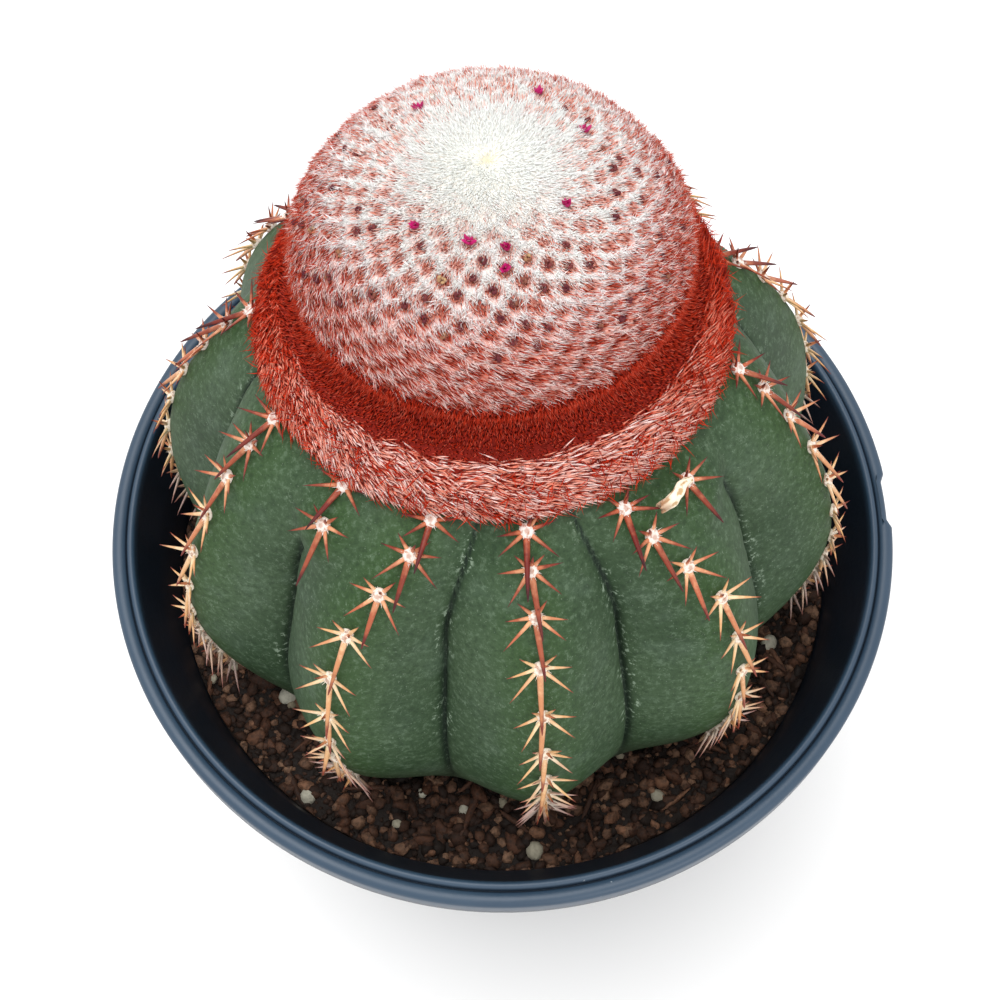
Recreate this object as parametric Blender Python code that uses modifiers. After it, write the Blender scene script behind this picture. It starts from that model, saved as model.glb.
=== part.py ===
"""Potted turk's cap cactus: a ribbed globe with a bristly cap, in a plastic nursery pot.

Metres, +Z up. The pot stands on z = 0 with its axis on the world's Z axis. The plant hangs from an empty
at the middle of the soil's surface, which gives its slight lean, and its own heights count up from there.
"""
import math

import bmesh
import bpy
from mathutils import Matrix, Vector

# Pot
POT_HEIGHT = 0.114
RIM_RADIUS = 0.0775
MOUTH_RADIUS = 0.0718
BASE_RADIUS = 0.054
WALL = 0.0014
FLOOR = 0.002
SKIRT_DROP = 0.0065
SKIRT_WALL = 0.0016
BEAD_RISE = 0.0013
GROOVE_RADIUS = 0.0741
POT_SIDES = 48

NOTCH_COUNT = 6
NOTCH_WIDTH = 0.0115
NOTCH_DEPTH = 0.0009
NOTCH_BEARING = math.radians(2)

DRAIN_COUNT = 8
DRAIN_RADIUS = 0.004
DRAIN_RING = 0.043

# Potting mix
MIX_DEPTH = 0.020
GAP = 0.0003

# Plant
LEAN_BACK = math.radians(5.5)
LEAN_LEFT = math.radians(1.1)

# The stem's outline along a rib's crest, as (radius, height) from its foot to its crown.
CREST = [
    (0.0300, -0.0130), (0.0460, -0.0110), (0.0560, 0.0010), (0.0612, 0.0150), (0.0634, 0.0290),
    (0.0624, 0.0410), (0.0586, 0.0540), (0.0506, 0.0680), (0.0400, 0.0785), (0.0230, 0.0835),
    (0.0010, 0.0845),
]
RIB_COUNT = 11
RIB_STEP = 2 * math.pi / RIB_COUNT
FRONT_RIB = math.radians(7.3)
FURROW_DEPTH = 0.0125
FURROW_POWER = 1.5
# The two ribs beside the front one lean towards it near the cap: rib number and angle.
BOWED_RIBS = {1: math.radians(-12), 10: math.radians(12)}
BOW_START = 0.056
CROWN = 0.078
# The ribs stand a little further apart at the front than at the back.
SPREAD = math.radians(3.3)
# Young ribs that start near the cap, as bearings.
YOUNG_RIBS = [math.radians(-36), math.radians(45)]
YOUNG_START = 0.056
YOUNG_RISE = 0.016
STEM_SIDES = 110
STEM_RINGS = 20

# Cap
DOME_RADIUS = 0.0325
DOME_BASE = 0.0988
DOME_RISE = 0.0200
BRIM_RADIUS = 0.0396
BRIM_FOOT = 0.0795
CAP_SIDES = 44

# Spine clusters
CLUSTERS_PER_RIB = 5
CLUSTER_PITCH = 0.0105
TOP_CLUSTER = 0.0690
RADIAL_COUNT = 7
PAD_RADIUS = 0.0019
PAD_TOP = 0.0011
PAD_HEIGHT = 0.0011
SPINE_LENGTH = 0.0072
LOWER_SPINE_EXTRA = 0.0030
SPINE_RAISE = math.radians(27)
CENTRAL_LENGTH = 0.0055

SOIL_LEVEL = POT_HEIGHT - MIX_DEPTH


# ---------------------------------------------------------------- scene and materials

def clear_scene():
    for old in list(bpy.data.objects):
        bpy.data.objects.remove(old, do_unlink=True)


def make_collection(name):
    collection = bpy.data.collections.new(name)
    bpy.context.scene.collection.children.link(collection)
    return collection


def plain_material(name, colour, roughness, sheen=0.0):
    material = bpy.data.materials.new(name)
    material.use_nodes = True
    shader = material.node_tree.nodes["Principled BSDF"]
    shader.inputs["Base Color"].default_value = (*colour, 1.0)
    shader.inputs["Roughness"].default_value = roughness
    shader.inputs["Metallic"].default_value = 0.0
    shader.inputs["Sheen Weight"].default_value = sheen
    material.diffuse_color = (*colour, 1.0)
    return material


def add_object(name, mesh, collection, material=None, parent=None):
    thing = bpy.data.objects.new(name, mesh)
    collection.objects.link(thing)
    if material:
        mesh.materials.append(material)
    if parent:
        thing.parent = parent
    return thing


def add_cutter(name, mesh, collection, parent=None):
    cutter = add_object(name, mesh, collection, parent=parent)
    cutter.hide_render = True
    cutter.display_type = "WIRE"
    return cutter


def cut(target, cutter):
    """Take a cutter's shape out of an object."""
    boolean = target.modifiers.new("cut " + cutter.name, "BOOLEAN")
    boolean.operation = "DIFFERENCE"
    boolean.solver = "EXACT"
    boolean.object = cutter


# ---------------------------------------------------------------- outlines

def turned_mesh(name, outline):
    """A half outline, (radius, height) from the axis, over the outer side and back to the axis."""
    mesh = bpy.data.meshes.new(name)
    points = [(radius, 0.0, height) for radius, height in outline]
    edges = [(i, i + 1) for i in range(len(points) - 1)]
    mesh.from_pydata(points, edges, [])
    return mesh


def turn(thing, sides):
    """Turn an object's outline all the way round its own Z axis."""
    screw = thing.modifiers.new("turned", "SCREW")
    screw.axis = "Z"
    screw.angle = 2 * math.pi
    screw.steps = sides
    screw.render_steps = sides
    screw.use_merge_vertices = True
    screw.merge_threshold = 0.00005


def elliptical_arc(centre, radii, first, last, count):
    """Points on an ellipse between two angles, both ends kept."""
    points = []
    for i in range(count + 1):
        angle = first + (last - first) * i / count
        points.append((centre[0] + radii[0] * math.cos(angle), centre[1] + radii[1] * math.sin(angle)))
    return points


def smooth_outline(points, steps):
    """A Catmull-Rom curve through (radius, height) points, with this many steps between two of them."""
    ends = [points[0]] + points + [points[-1]]
    curve = []
    for i in range(len(points) - 1):
        p0, p1, p2, p3 = (Vector(p) for p in ends[i:i + 4])
        for k in range(steps):
            t = k / steps
            bend = (2 * p0 - 5 * p1 + 4 * p2 - p3) * t * t + (3 * p1 - p0 - 3 * p2 + p3) * t ** 3
            curve.append(0.5 * (2 * p1 + (p2 - p0) * t + bend))
    curve.append(Vector(points[-1]))
    return curve


def arc_lengths(curve):
    """The length along a curve at each of its points."""
    lengths = [0.0]
    for before, after in zip(curve, curve[1:]):
        lengths.append(lengths[-1] + (after - before).length)
    return lengths


def point_at(curve, lengths, distance):
    """The point this far along a curve, and the curve's direction there."""
    for i in range(len(curve) - 1):
        if lengths[i + 1] >= distance:
            break
    along = curve[i + 1] - curve[i]
    part = (distance - lengths[i]) / (lengths[i + 1] - lengths[i])
    return curve[i] + along * min(part, 1.0), along.normalized()


# ---------------------------------------------------------------- pot and potting mix

def mouth_wall(height):
    """The pot's inner radius at a height."""
    inner_base = BASE_RADIUS - WALL
    return inner_base + (MOUTH_RADIUS - inner_base) * height / POT_HEIGHT


def pot_outline():
    bead_foot = POT_HEIGHT - BEAD_RISE
    inner_half = (GROOVE_RADIUS - MOUTH_RADIUS) / 2
    outer_half = (RIM_RADIUS - GROOVE_RADIUS) / 2
    inner_bead = elliptical_arc((MOUTH_RADIUS + inner_half, bead_foot), (inner_half, BEAD_RISE),
                                math.pi, 0.0, 5)
    outer_bead = elliptical_arc((GROOVE_RADIUS + outer_half, bead_foot - 0.0002),
                                (outer_half, BEAD_RISE * 0.9), math.pi, 0.0, 6)
    skirt_foot = POT_HEIGHT - SKIRT_DROP
    under_bead = bead_foot - SKIRT_WALL
    outer_top = MOUTH_RADIUS + WALL
    inside = [(0.0, FLOOR), (mouth_wall(FLOOR), FLOOR)]
    skirt = [(RIM_RADIUS, skirt_foot), (RIM_RADIUS - SKIRT_WALL, skirt_foot),
             (RIM_RADIUS - SKIRT_WALL, under_bead), (outer_top, under_bead)]
    side = [(BASE_RADIUS, 0.0015), (BASE_RADIUS - 0.0015, 0.0), (0.0, 0.0)]
    return inside + inner_bead + outer_bead[1:] + skirt + side


def notch_cutters():
    """Boxes that take shallow flats out of the rim's outer bead."""
    bm = bmesh.new()
    box_depth = 0.006
    for i in range(NOTCH_COUNT):
        turned = Matrix.Rotation(NOTCH_BEARING + 2 * math.pi * i / NOTCH_COUNT, 4, "Z")
        reach = RIM_RADIUS - NOTCH_DEPTH + box_depth / 2
        place = Matrix.Translation((reach, 0, POT_HEIGHT))
        size = Matrix.Diagonal((box_depth, NOTCH_WIDTH, 4 * SKIRT_DROP, 1))
        bmesh.ops.create_cube(bm, size=1.0, matrix=turned @ place @ size)
    return finished_mesh(bm, "rim_notches")


def drain_cutters():
    """Rods through the pot's floor."""
    bm = bmesh.new()
    for i in range(DRAIN_COUNT):
        angle = 2 * math.pi * (i + 0.5) / DRAIN_COUNT
        place = Matrix.Translation((DRAIN_RING * math.cos(angle), DRAIN_RING * math.sin(angle), 0))
        bmesh.ops.create_cone(bm, cap_ends=True, segments=12, radius1=DRAIN_RADIUS,
                              radius2=DRAIN_RADIUS, depth=6 * FLOOR, matrix=place)
    return finished_mesh(bm, "drain_holes")


def finished_mesh(bm, name):
    mesh = bpy.data.meshes.new(name)
    bm.to_mesh(mesh)
    bm.free()
    return mesh


def make_pot(parts, cutters):
    material = plain_material("black nursery plastic", (0.028, 0.045, 0.062), 0.42)
    pot = add_object("pot", turned_mesh("pot", pot_outline()), parts, material)
    turn(pot, POT_SIDES)
    cut(pot, add_cutter("rim_notches", notch_cutters(), cutters))
    cut(pot, add_cutter("drain_holes", drain_cutters(), cutters))


def hollow_outline():
    """The stem's foot, a little larger all round, open above the mix."""
    foot = [(radius + 3 * GAP, height) for radius, height in smooth_outline(CREST[:4], 3)]
    top = (foot[-1][0], foot[-1][1] + 0.01)
    return [(0.0, top[1]), top] + foot[::-1] + [(0.0, foot[0][1])]


def make_potting_mix(parts, cutters, plant):
    bottom = FLOOR + GAP
    outline = [(0.0, SOIL_LEVEL), (mouth_wall(SOIL_LEVEL) - GAP, SOIL_LEVEL),
               (mouth_wall(bottom) - GAP, bottom), (0.0, bottom)]
    material = plain_material("potting mix", (0.045, 0.028, 0.020), 0.95)
    mix = add_object("potting_mix", turned_mesh("potting_mix", outline), parts, material)
    turn(mix, POT_SIDES)
    hollow = add_cutter("stem_hollow", turned_mesh("stem_hollow", hollow_outline()), cutters, plant)
    hollow.location.z = -GAP
    turn(hollow, POT_SIDES)
    cut(mix, hollow)


# ---------------------------------------------------------------- stem

def facing(bearing):
    """The level direction of a bearing, which counts from the front (-Y) towards +X."""
    return Vector((math.sin(bearing), -math.cos(bearing), 0.0))


def rib_bearing(rib, height):
    """Where a rib's crest runs at a height."""
    leaning = min(1.2, max(0.0, (height - BOW_START) / (CROWN - BOW_START)) ** 1.5)
    even = (RIB_STEP * rib + math.pi) % (2 * math.pi) - math.pi + BOWED_RIBS.get(rib, 0.0) * leaning
    return FRONT_RIB + even + SPREAD * math.sin(even)


def turn_between(first, second):
    return abs((first - second + math.pi) % (2 * math.pi) - math.pi)


def furrow_fade(height):
    """Furrows are full at mid height, shallower towards the foot, and run out at the crown."""
    low = min(1.0, max(0.0, (height + 0.030) / 0.075))
    high = min(1.0, max(0.0, (0.083 - height) / 0.030))
    return low * high ** 0.8


def set_back(bearing, height):
    """How far the surface lies inside the crest's outline."""
    depth = FURROW_DEPTH * furrow_fade(height)
    half_rib = RIB_STEP / 2
    backs = []
    for rib in range(RIB_COUNT):
        away = turn_between(bearing, rib_bearing(rib, height))
        backs.append(depth * (away / half_rib) ** FURROW_POWER)
    for young in YOUNG_RIBS:
        grown = min(1.0, max(0.0, (height - YOUNG_START) / YOUNG_RISE))
        away = turn_between(bearing, young)
        backs.append(depth * ((away / half_rib) ** FURROW_POWER + 1.2 * (1 - grown)))
    return min(backs)


def make_stem(parts, plant, crest, lengths):
    """A sphere's rings are laid along the crest's outline, and each point is set back into its furrow."""
    bm = bmesh.new()
    bmesh.ops.create_uvsphere(bm, u_segments=STEM_SIDES, v_segments=STEM_RINGS, radius=1.0)
    first_column = min(math.atan2(v.co.x, -v.co.y) % (2 * math.pi / STEM_SIDES) for v in bm.verts
                       if abs(v.co.z) < 0.5)
    for vert in bm.verts:
        part = math.acos(max(-1.0, min(1.0, -vert.co.z))) / math.pi
        spot, _ = point_at(crest, lengths, part * lengths[-1])
        if math.hypot(vert.co.x, vert.co.y) < 1e-6:
            vert.co = (0.0, 0.0, spot.y)
            continue
        bearing = math.atan2(vert.co.x, -vert.co.y) - first_column + FRONT_RIB
        radius = spot.x - set_back(bearing, spot.y)
        vert.co = facing(bearing) * max(radius, 0.3 * spot.x) + Vector((0, 0, spot.y))
    bmesh.ops.recalc_face_normals(bm, faces=bm.faces)
    material = plain_material("green skin", (0.075, 0.150, 0.082), 0.62)
    add_object("stem", finished_mesh(bm, "stem"), parts, material, plant)


# ---------------------------------------------------------------- cap

def cap_outline(crest):
    """Dome, neck and brim from the top down, then the underside, just clear of the stem's crown."""
    dome = elliptical_arc((0.0, DOME_BASE), (DOME_RADIUS, DOME_RISE), math.pi / 2, 0.0, 8)
    neck = [(DOME_RADIUS - 0.0004, DOME_BASE - 0.0018), (DOME_RADIUS - 0.0012, DOME_BASE - 0.0032),
            (DOME_RADIUS - 0.0009, DOME_BASE - 0.0068), (DOME_RADIUS + 0.0004, DOME_BASE - 0.0092)]
    brim = [(BRIM_RADIUS - 0.0046, BRIM_FOOT + 0.0093), (BRIM_RADIUS - 0.0020, BRIM_FOOT + 0.0068),
            (BRIM_RADIUS - 0.0004, BRIM_FOOT + 0.0036), (BRIM_RADIUS, BRIM_FOOT + 0.0012)]
    under = [(spot.x, spot.y + 2 * GAP) for spot in crest if spot.y > BRIM_FOOT - 2 * GAP]
    return [(0.0, dome[0][1])] + dome[1:] + neck + brim + under[:-1] + [(0.0, under[-1][1])]


def make_cap(parts, plant, crest):
    material = plain_material("cap wool and bristles", (0.62, 0.20, 0.14), 0.9, sheen=0.3)
    cap = add_object("cephalium", turned_mesh("cephalium", cap_outline(crest)), parts, material, plant)
    turn(cap, CAP_SIDES)


# ---------------------------------------------------------------- spine clusters

def cluster_mesh():
    """A woolly pad, each of its sides drawn out into a spine, and its top into a central one.

    Local +Z points away from the stem and +Y up along the rib's crest.
    """
    bm = bmesh.new()
    side_on = Matrix.Rotation(math.pi / RADIAL_COUNT, 4, "Z")
    lift = Matrix.Translation((0, 0, GAP + PAD_HEIGHT / 2))
    bmesh.ops.create_cone(bm, cap_ends=True, segments=RADIAL_COUNT, radius1=PAD_RADIUS,
                          radius2=PAD_TOP, depth=PAD_HEIGHT, matrix=lift @ side_on)
    bm.normal_update()
    sides = [face for face in bm.faces if abs(face.normal.z) < 0.9]
    top = [face for face in bm.faces if face.normal.z > 0.9]
    bmesh.ops.poke(bm, faces=top, offset=CENTRAL_LENGTH)
    for face in bmesh.ops.extrude_discrete_faces(bm, faces=sides)["faces"]:
        middle = face.calc_center_median()
        level = Vector((middle.x, middle.y, 0)).normalized()
        length = SPINE_LENGTH - LOWER_SPINE_EXTRA * level.y
        reach = level * math.cos(SPINE_RAISE) + Vector((0, 0, math.sin(SPINE_RAISE)))
        bmesh.ops.pointmerge(bm, verts=list(face.verts), merge_co=middle + reach * length)
    bmesh.ops.recalc_face_normals(bm, faces=bm.faces)
    return finished_mesh(bm, "spine_cluster")


def crest_frame(rib, spot, along):
    """An areole's place on a rib: +Z out of the stem, +Y up the crest."""
    bearing = rib_bearing(rib, spot.y)
    level = facing(bearing)
    up = (level * along.x + Vector((0, 0, along.y))).normalized()
    out = (level * along.y - Vector((0, 0, along.x))).normalized()
    frame = Matrix.Identity(4)
    frame.col[0].xyz = up.cross(out)
    frame.col[1].xyz = up
    frame.col[2].xyz = out
    frame.translation = level * spot.x + Vector((0, 0, spot.y))
    return frame


def make_spine_clusters(parts, plant, crest, lengths):
    material = plain_material("spines", (0.52, 0.20, 0.13), 0.5)
    top = next(length for spot, length in zip(crest, lengths) if spot.y > TOP_CLUSTER)
    for rib in range(RIB_COUNT):
        for row in range(CLUSTERS_PER_RIB):
            spot, along = point_at(crest, lengths, top - row * CLUSTER_PITCH)
            name = f"spine_cluster_rib{rib + 1:02d}_{row + 1}"
            cluster = add_object(name, cluster_mesh(), parts, material, plant)
            cluster.matrix_local = crest_frame(rib, spot, along)


# ---------------------------------------------------------------- build

def build():
    clear_scene()
    parts = make_collection("potted_turks_cap_cactus")
    cutters = make_collection("cutters")
    plant = bpy.data.objects.new("plant", None)
    plant.location = (0, 0, SOIL_LEVEL)
    plant.rotation_euler = (-LEAN_BACK, -LEAN_LEFT, 0)
    parts.objects.link(plant)
    crest = smooth_outline(CREST, 6)
    lengths = arc_lengths(crest)
    make_pot(parts, cutters)
    make_potting_mix(parts, cutters, plant)
    make_stem(parts, plant, crest, lengths)
    make_cap(parts, plant, crest)
    make_spine_clusters(parts, plant, crest, lengths)
    bpy.context.view_layer.update()


build()
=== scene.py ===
# %% [markdown]
# # A potted turk's cap cactus
#
# A turk's cap cactus is a ribbed green globe that, once it is old enough to flower, stops growing taller
# and builds a cap of wool and bristles instead. This lesson dresses a plain, exactly sized model of one
# in its pot: the plastic, the bark mix, the waxy skin, the spines, and above all the cap.
#
# The plain model comes first, as a frame that nothing here moves. Each finished piece then stands for a
# part of it.

# %% Tools and the frame
import math

import bpy
import numpy as np
from mathutils import Euler, Matrix, Vector, kdtree, noise


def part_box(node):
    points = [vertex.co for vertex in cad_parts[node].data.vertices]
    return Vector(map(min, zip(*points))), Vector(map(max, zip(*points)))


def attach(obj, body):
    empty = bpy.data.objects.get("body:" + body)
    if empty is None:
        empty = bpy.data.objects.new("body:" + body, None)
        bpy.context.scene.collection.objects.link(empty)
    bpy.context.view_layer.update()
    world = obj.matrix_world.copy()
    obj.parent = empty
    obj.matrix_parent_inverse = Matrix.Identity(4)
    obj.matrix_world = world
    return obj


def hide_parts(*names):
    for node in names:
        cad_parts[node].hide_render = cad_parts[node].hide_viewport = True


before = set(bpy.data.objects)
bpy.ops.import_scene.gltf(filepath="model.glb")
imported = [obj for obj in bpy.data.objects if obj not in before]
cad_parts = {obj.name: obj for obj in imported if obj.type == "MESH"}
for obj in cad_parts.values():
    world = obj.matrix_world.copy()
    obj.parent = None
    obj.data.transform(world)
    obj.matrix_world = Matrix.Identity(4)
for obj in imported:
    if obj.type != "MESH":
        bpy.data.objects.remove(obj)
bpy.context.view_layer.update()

# %% [markdown]
# ## Sizes that the frame gives
#
# The pot stands on the ground at the middle of the world, so its box gives its height and rim. The top of
# the mix's box is the soil's surface. The plant grows from there, and leans back a little, so its pieces
# are worked out in its own upright space and then carried over by one matrix.

# %% Places
pot_high = Vector(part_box("pot")[1])
mix_high = Vector(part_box("potting_mix")[1])
RIM_TOP = pot_high.z
RIM_RADIUS = pot_high.y
SOIL = mix_high.z
LEAN_BACK = math.radians(5.5)
LEAN_LEFT = math.radians(1.1)
PLANT = Matrix.Translation((0, 0, SOIL)) @ Euler((-LEAN_BACK, -LEAN_LEFT, 0)).to_matrix().to_4x4()
print(f"rim {RIM_RADIUS * 2000:.0f} mm across at {RIM_TOP * 1000:.0f} mm, soil at {SOIL * 1000:.0f} mm")


def planted(points):
    """Points of the plant's own space, as an array, in the world."""
    turn = np.array(PLANT.to_3x3())
    return np.asarray(points, float) @ turn.T + np.array(PLANT.translation)


def planted_directions(directions):
    return np.asarray(directions, float) @ np.array(PLANT.to_3x3()).T


# %% [markdown]
# ## Node trees, written as sums
#
# Both materials and Geometry Nodes are graphs of small steps. A formula reads better as a formula, so one
# class wraps a socket and turns `1 - mask * 2` into its Math nodes. Every other node comes from one
# method: its type, its settings, then the values or links of its sockets.

# %% A graph of nodes
class Wire:
    """An output socket that takes part in sums."""

    def __init__(self, graph, socket):
        self.graph = graph
        self.socket = socket

    def math(self, operation, *others):
        values = dict(enumerate((self, *others)))
        return self.graph.node("ShaderNodeMath", {"operation": operation}, values)

    def __add__(self, other):
        return self.math("ADD", other)

    def __sub__(self, other):
        return self.math("SUBTRACT", other)

    def __rsub__(self, other):
        return (self * -1) + other

    def __mul__(self, other):
        return self.math("MULTIPLY", other)

    def __truediv__(self, other):
        return self.math("DIVIDE", other)

    def __pow__(self, other):
        return self.math("POWER", other)

    __radd__ = __add__
    __rmul__ = __mul__

    def clamp(self, low=0.0, high=1.0):
        return self.math("MAXIMUM", low).math("MINIMUM", high)

    def ramp_between(self, start, end):
        """0 below start, 1 above end, smooth between them."""
        return self.graph.node("ShaderNodeMapRange", {"interpolation_type": "SMOOTHSTEP"},
                               {0: self, 1: start, 2: end, 3: 0.0, 4: 1.0})


class Graph:
    """A node tree and the ways to add to it."""

    def __init__(self, tree):
        self.tree = tree

    def node(self, kind, settings=None, sockets=None, out=0):
        made = self.tree.nodes.new(kind)
        for name, value in (settings or {}).items():
            if name == "stops":
                self.set_stops(made.color_ramp, value)
            else:
                setattr(made, name, value)
        for key, value in (sockets or {}).items():
            if isinstance(value, Wire):
                self.tree.links.new(value.socket, made.inputs[key])
            else:
                made.inputs[key].default_value = value
        return Wire(self, made.outputs[out])

    @staticmethod
    def set_stops(ramp, stops):
        while len(ramp.elements) < len(stops):
            ramp.elements.new(0.5)
        for element, (position, colour) in zip(ramp.elements, stops):
            element.position = position
            element.color = (*colour, 1.0)

    def attribute(self, name, out="Fac"):
        return self.node("ShaderNodeAttribute", {"attribute_name": name}, out=out)

    def noise(self, scale, detail=3.0, roughness=0.5, vector=None):
        place = {"Vector": vector} if vector else {}
        return self.node("ShaderNodeTexNoise", {}, {"Scale": scale, "Detail": detail,
                                                    "Roughness": roughness, **place})

    def blend(self, first, second, amount):
        """A mix of two colours."""
        return self.node("ShaderNodeMix", {"data_type": "RGBA"}, {0: amount, 6: first, 7: second}, out=2)

    def stops(self, value, stops):
        return self.node("ShaderNodeValToRGB", {"stops": stops}, {0: value}, out=0)

    def bump(self, height, strength, distance):
        return self.node("ShaderNodeBump", {}, {"Height": height, "Strength": strength,
                                                "Distance": distance})

    def scaled(self, vector, factor):
        return self.node("ShaderNodeVectorMath", {"operation": "SCALE"}, {0: vector, 3: factor})

    def vector_math(self, operation, first, second, out=0):
        return self.node("ShaderNodeVectorMath", {"operation": operation}, {0: first, 1: second}, out)

    def added(self, first, second):
        return self.vector_math("ADD", first, second)

    def split(self, vector):
        """A vector's three parts."""
        parts = self.node("ShaderNodeSeparateXYZ", {}, {0: vector}).socket.node
        return [Wire(self, parts.outputs[k]) for k in range(3)]


def new_material(name, build, **constants):
    """A Principled material. Its constants go on the shader's own sockets; build links what varies."""
    material = bpy.data.materials.new(name)
    material.use_nodes = True
    shader = material.node_tree.nodes["Principled BSDF"]
    for socket, value in constants.items():
        shader.inputs[socket.replace("_", " ")].default_value = value
    graph = Graph(material.node_tree)
    for socket, wire in build(graph).items():
        graph.tree.links.new(wire.socket, shader.inputs[socket])
    return material


def object_place(graph):
    return graph.node("ShaderNodeTexCoord", out="Object")


print("node helpers ready")

# %% [markdown]
# ## The view
#
# The plant is seen from close by and well above, which makes the cap loom over the pot. A camera under
# 30 cm from the rim gives that; from far away with a long lens the pot would look larger than the cap.
# The light is soft and comes from all round, with one large lamp overhead for shape.

# %% Camera, light and floor
LENS = 54.3
CAMERA_BACK = 0.126
CAMERA_RISE = 0.2723
LOOKS_DOWN = 64.8


def make_camera():
    data = bpy.data.cameras.new("camera")
    data.lens = LENS
    data.sensor_width = 36.0
    data.clip_start = 0.01
    camera = bpy.data.objects.new("camera", data)
    camera.location = (-0.0005, -CAMERA_BACK, RIM_TOP + CAMERA_RISE)
    camera.rotation_euler = (math.radians(90 - LOOKS_DOWN), 0, 0)
    bpy.context.scene.collection.objects.link(camera)
    bpy.context.scene.camera = camera


def make_lamp(name, place, size, power, colour=(1, 1, 1)):
    data = bpy.data.lights.new(name, "AREA")
    data.shape = "DISK"
    data.size = size
    data.energy = power
    data.color = colour
    lamp = bpy.data.objects.new(name, data)
    lamp.location = place
    aim = Vector((0, 0, RIM_TOP)) - Vector(place)
    lamp.rotation_euler = aim.to_track_quat("-Z", "Y").to_euler()
    bpy.context.scene.collection.objects.link(lamp)


def make_floor():
    def pale(graph):
        cloud = graph.noise(3.0, vector=object_place(graph))
        return {"Base Color": graph.blend((0.93, 0.93, 0.93, 1), (0.90, 0.90, 0.90, 1), cloud)}

    mesh = bpy.data.meshes.new("floor")
    reach = 3.0
    corners = [(-reach, -reach, 0), (reach, -reach, 0), (reach, reach, 0), (-reach, reach, 0)]
    mesh.from_pydata(corners, [], [(0, 1, 2, 3)])
    mesh.materials.append(new_material("pale floor", pale, Roughness=0.9))
    floor = bpy.data.objects.new("floor", mesh)
    bpy.context.scene.collection.objects.link(floor)


def make_sky(strength):
    world = bpy.data.worlds.new("soft sky")
    world.use_nodes = True
    world.node_tree.nodes["Background"].inputs["Color"].default_value = (1, 1, 1, 1)
    world.node_tree.nodes["Background"].inputs["Strength"].default_value = strength
    bpy.context.scene.world = world


make_camera()
make_sky(1.0)
make_lamp("overhead", (-0.20, 0.10, 1.1), 0.9, 8.0)
make_lamp("front fill", (0.5, -0.8, 0.7), 0.6, 3.0)
make_floor()
bpy.context.scene.view_settings.view_transform = "Standard"
print("camera at", tuple(round(v, 3) for v in bpy.context.scene.camera.location))

# %% [markdown]
# ## Skins through rings
#
# The pot, the soil and the cap are all round, yet each departs from a true turned shape: the pot has
# a flat, the soil makes room for the ribs, and the cap is pitted. So one helper lays a skin through
# rings of points, from the top down the outside, and closes both ends.

# %% Outlines and lofts
def smooth_outline(points, spacing):
    """A Catmull-Rom curve through (radius, height) points, resampled at an even spacing."""
    points = np.asarray(points, float)
    ends = np.vstack([points[:1], points, points[-1:]])
    t = np.linspace(0, 1, 24, endpoint=False)[:, None]
    curve = []
    for i in range(len(points) - 1):
        p0, p1, p2, p3 = ends[i:i + 4]
        bend = (2 * p0 - 5 * p1 + 4 * p2 - p3) * t ** 2 + (3 * p1 - p0 - 3 * p2 + p3) * t ** 3
        curve.append(0.5 * (2 * p1 + (p2 - p0) * t + bend))
    curve = np.vstack(curve + [points[-1:]])
    lengths = np.concatenate([[0], np.cumsum(np.linalg.norm(np.diff(curve, axis=0), axis=1))])
    even = np.linspace(0, lengths[-1], max(2, round(lengths[-1] / spacing)) + 1)
    return np.column_stack([np.interp(even, lengths, curve[:, k]) for k in (0, 1)]), even


def arc(centre, radii, first, last, count):
    """Points on an ellipse between two angles in degrees."""
    angles = np.radians(np.linspace(first, last, count))
    return [(centre[0] + radii[0] * math.cos(a), centre[1] + radii[1] * math.sin(a)) for a in angles]


def around(sides):
    """Evenly spaced bearings. They count from the front, which is -Y, towards +X."""
    return np.arange(sides) * 2 * math.pi / sides


def ring_points(radius, bearing, height):
    """Points from their radius, bearing and height, which may be arrays of one shape."""
    radius, bearing, height = np.broadcast_arrays(radius, bearing, height)
    return np.stack([radius * np.sin(bearing), -radius * np.cos(bearing), height], axis=-1)


def loft(name, rings, attributes=None):
    """A closed skin through an array of rings, with a point at each end."""
    count, sides = rings.shape[:2]
    points = np.vstack([rings[0].mean(0)[None], rings.reshape(-1, 3), rings[-1].mean(0)[None]])
    row, column = np.meshgrid(np.arange(count - 1), np.arange(sides), indexing="ij")
    here = 1 + row * sides + column
    beside = 1 + row * sides + (column + 1) % sides
    quads = np.stack([here, here + sides, beside + sides, beside], axis=-1).reshape(-1, 4)
    first, last = 1 + np.arange(sides), 1 + (count - 1) * sides + np.arange(sides)
    start = np.column_stack([np.zeros(sides, int), first, np.roll(first, -1)])
    end = np.column_stack([np.full(sides, len(points) - 1), np.roll(last, -1), last])
    mesh = bpy.data.meshes.new(name)
    mesh.from_pydata(points.tolist(), [], quads.tolist() + start.tolist() + end.tolist())
    for key, values in (attributes or {}).items():
        values = np.concatenate([values[:1, 0], values.reshape(-1, *values.shape[2:]), values[-1:, 0]])
        store_attribute(mesh, key, values)
    mesh.shade_smooth()
    return mesh


def store_attribute(mesh, name, values):
    """Numbers, or rows of three, for each point of a mesh."""
    values = np.asarray(values, float)
    kind, field = ("FLOAT_VECTOR", "vector") if values.ndim == 2 else ("FLOAT", "value")
    mesh.attributes.new(name, kind, "POINT").data.foreach_set(field, values.ravel())


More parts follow.
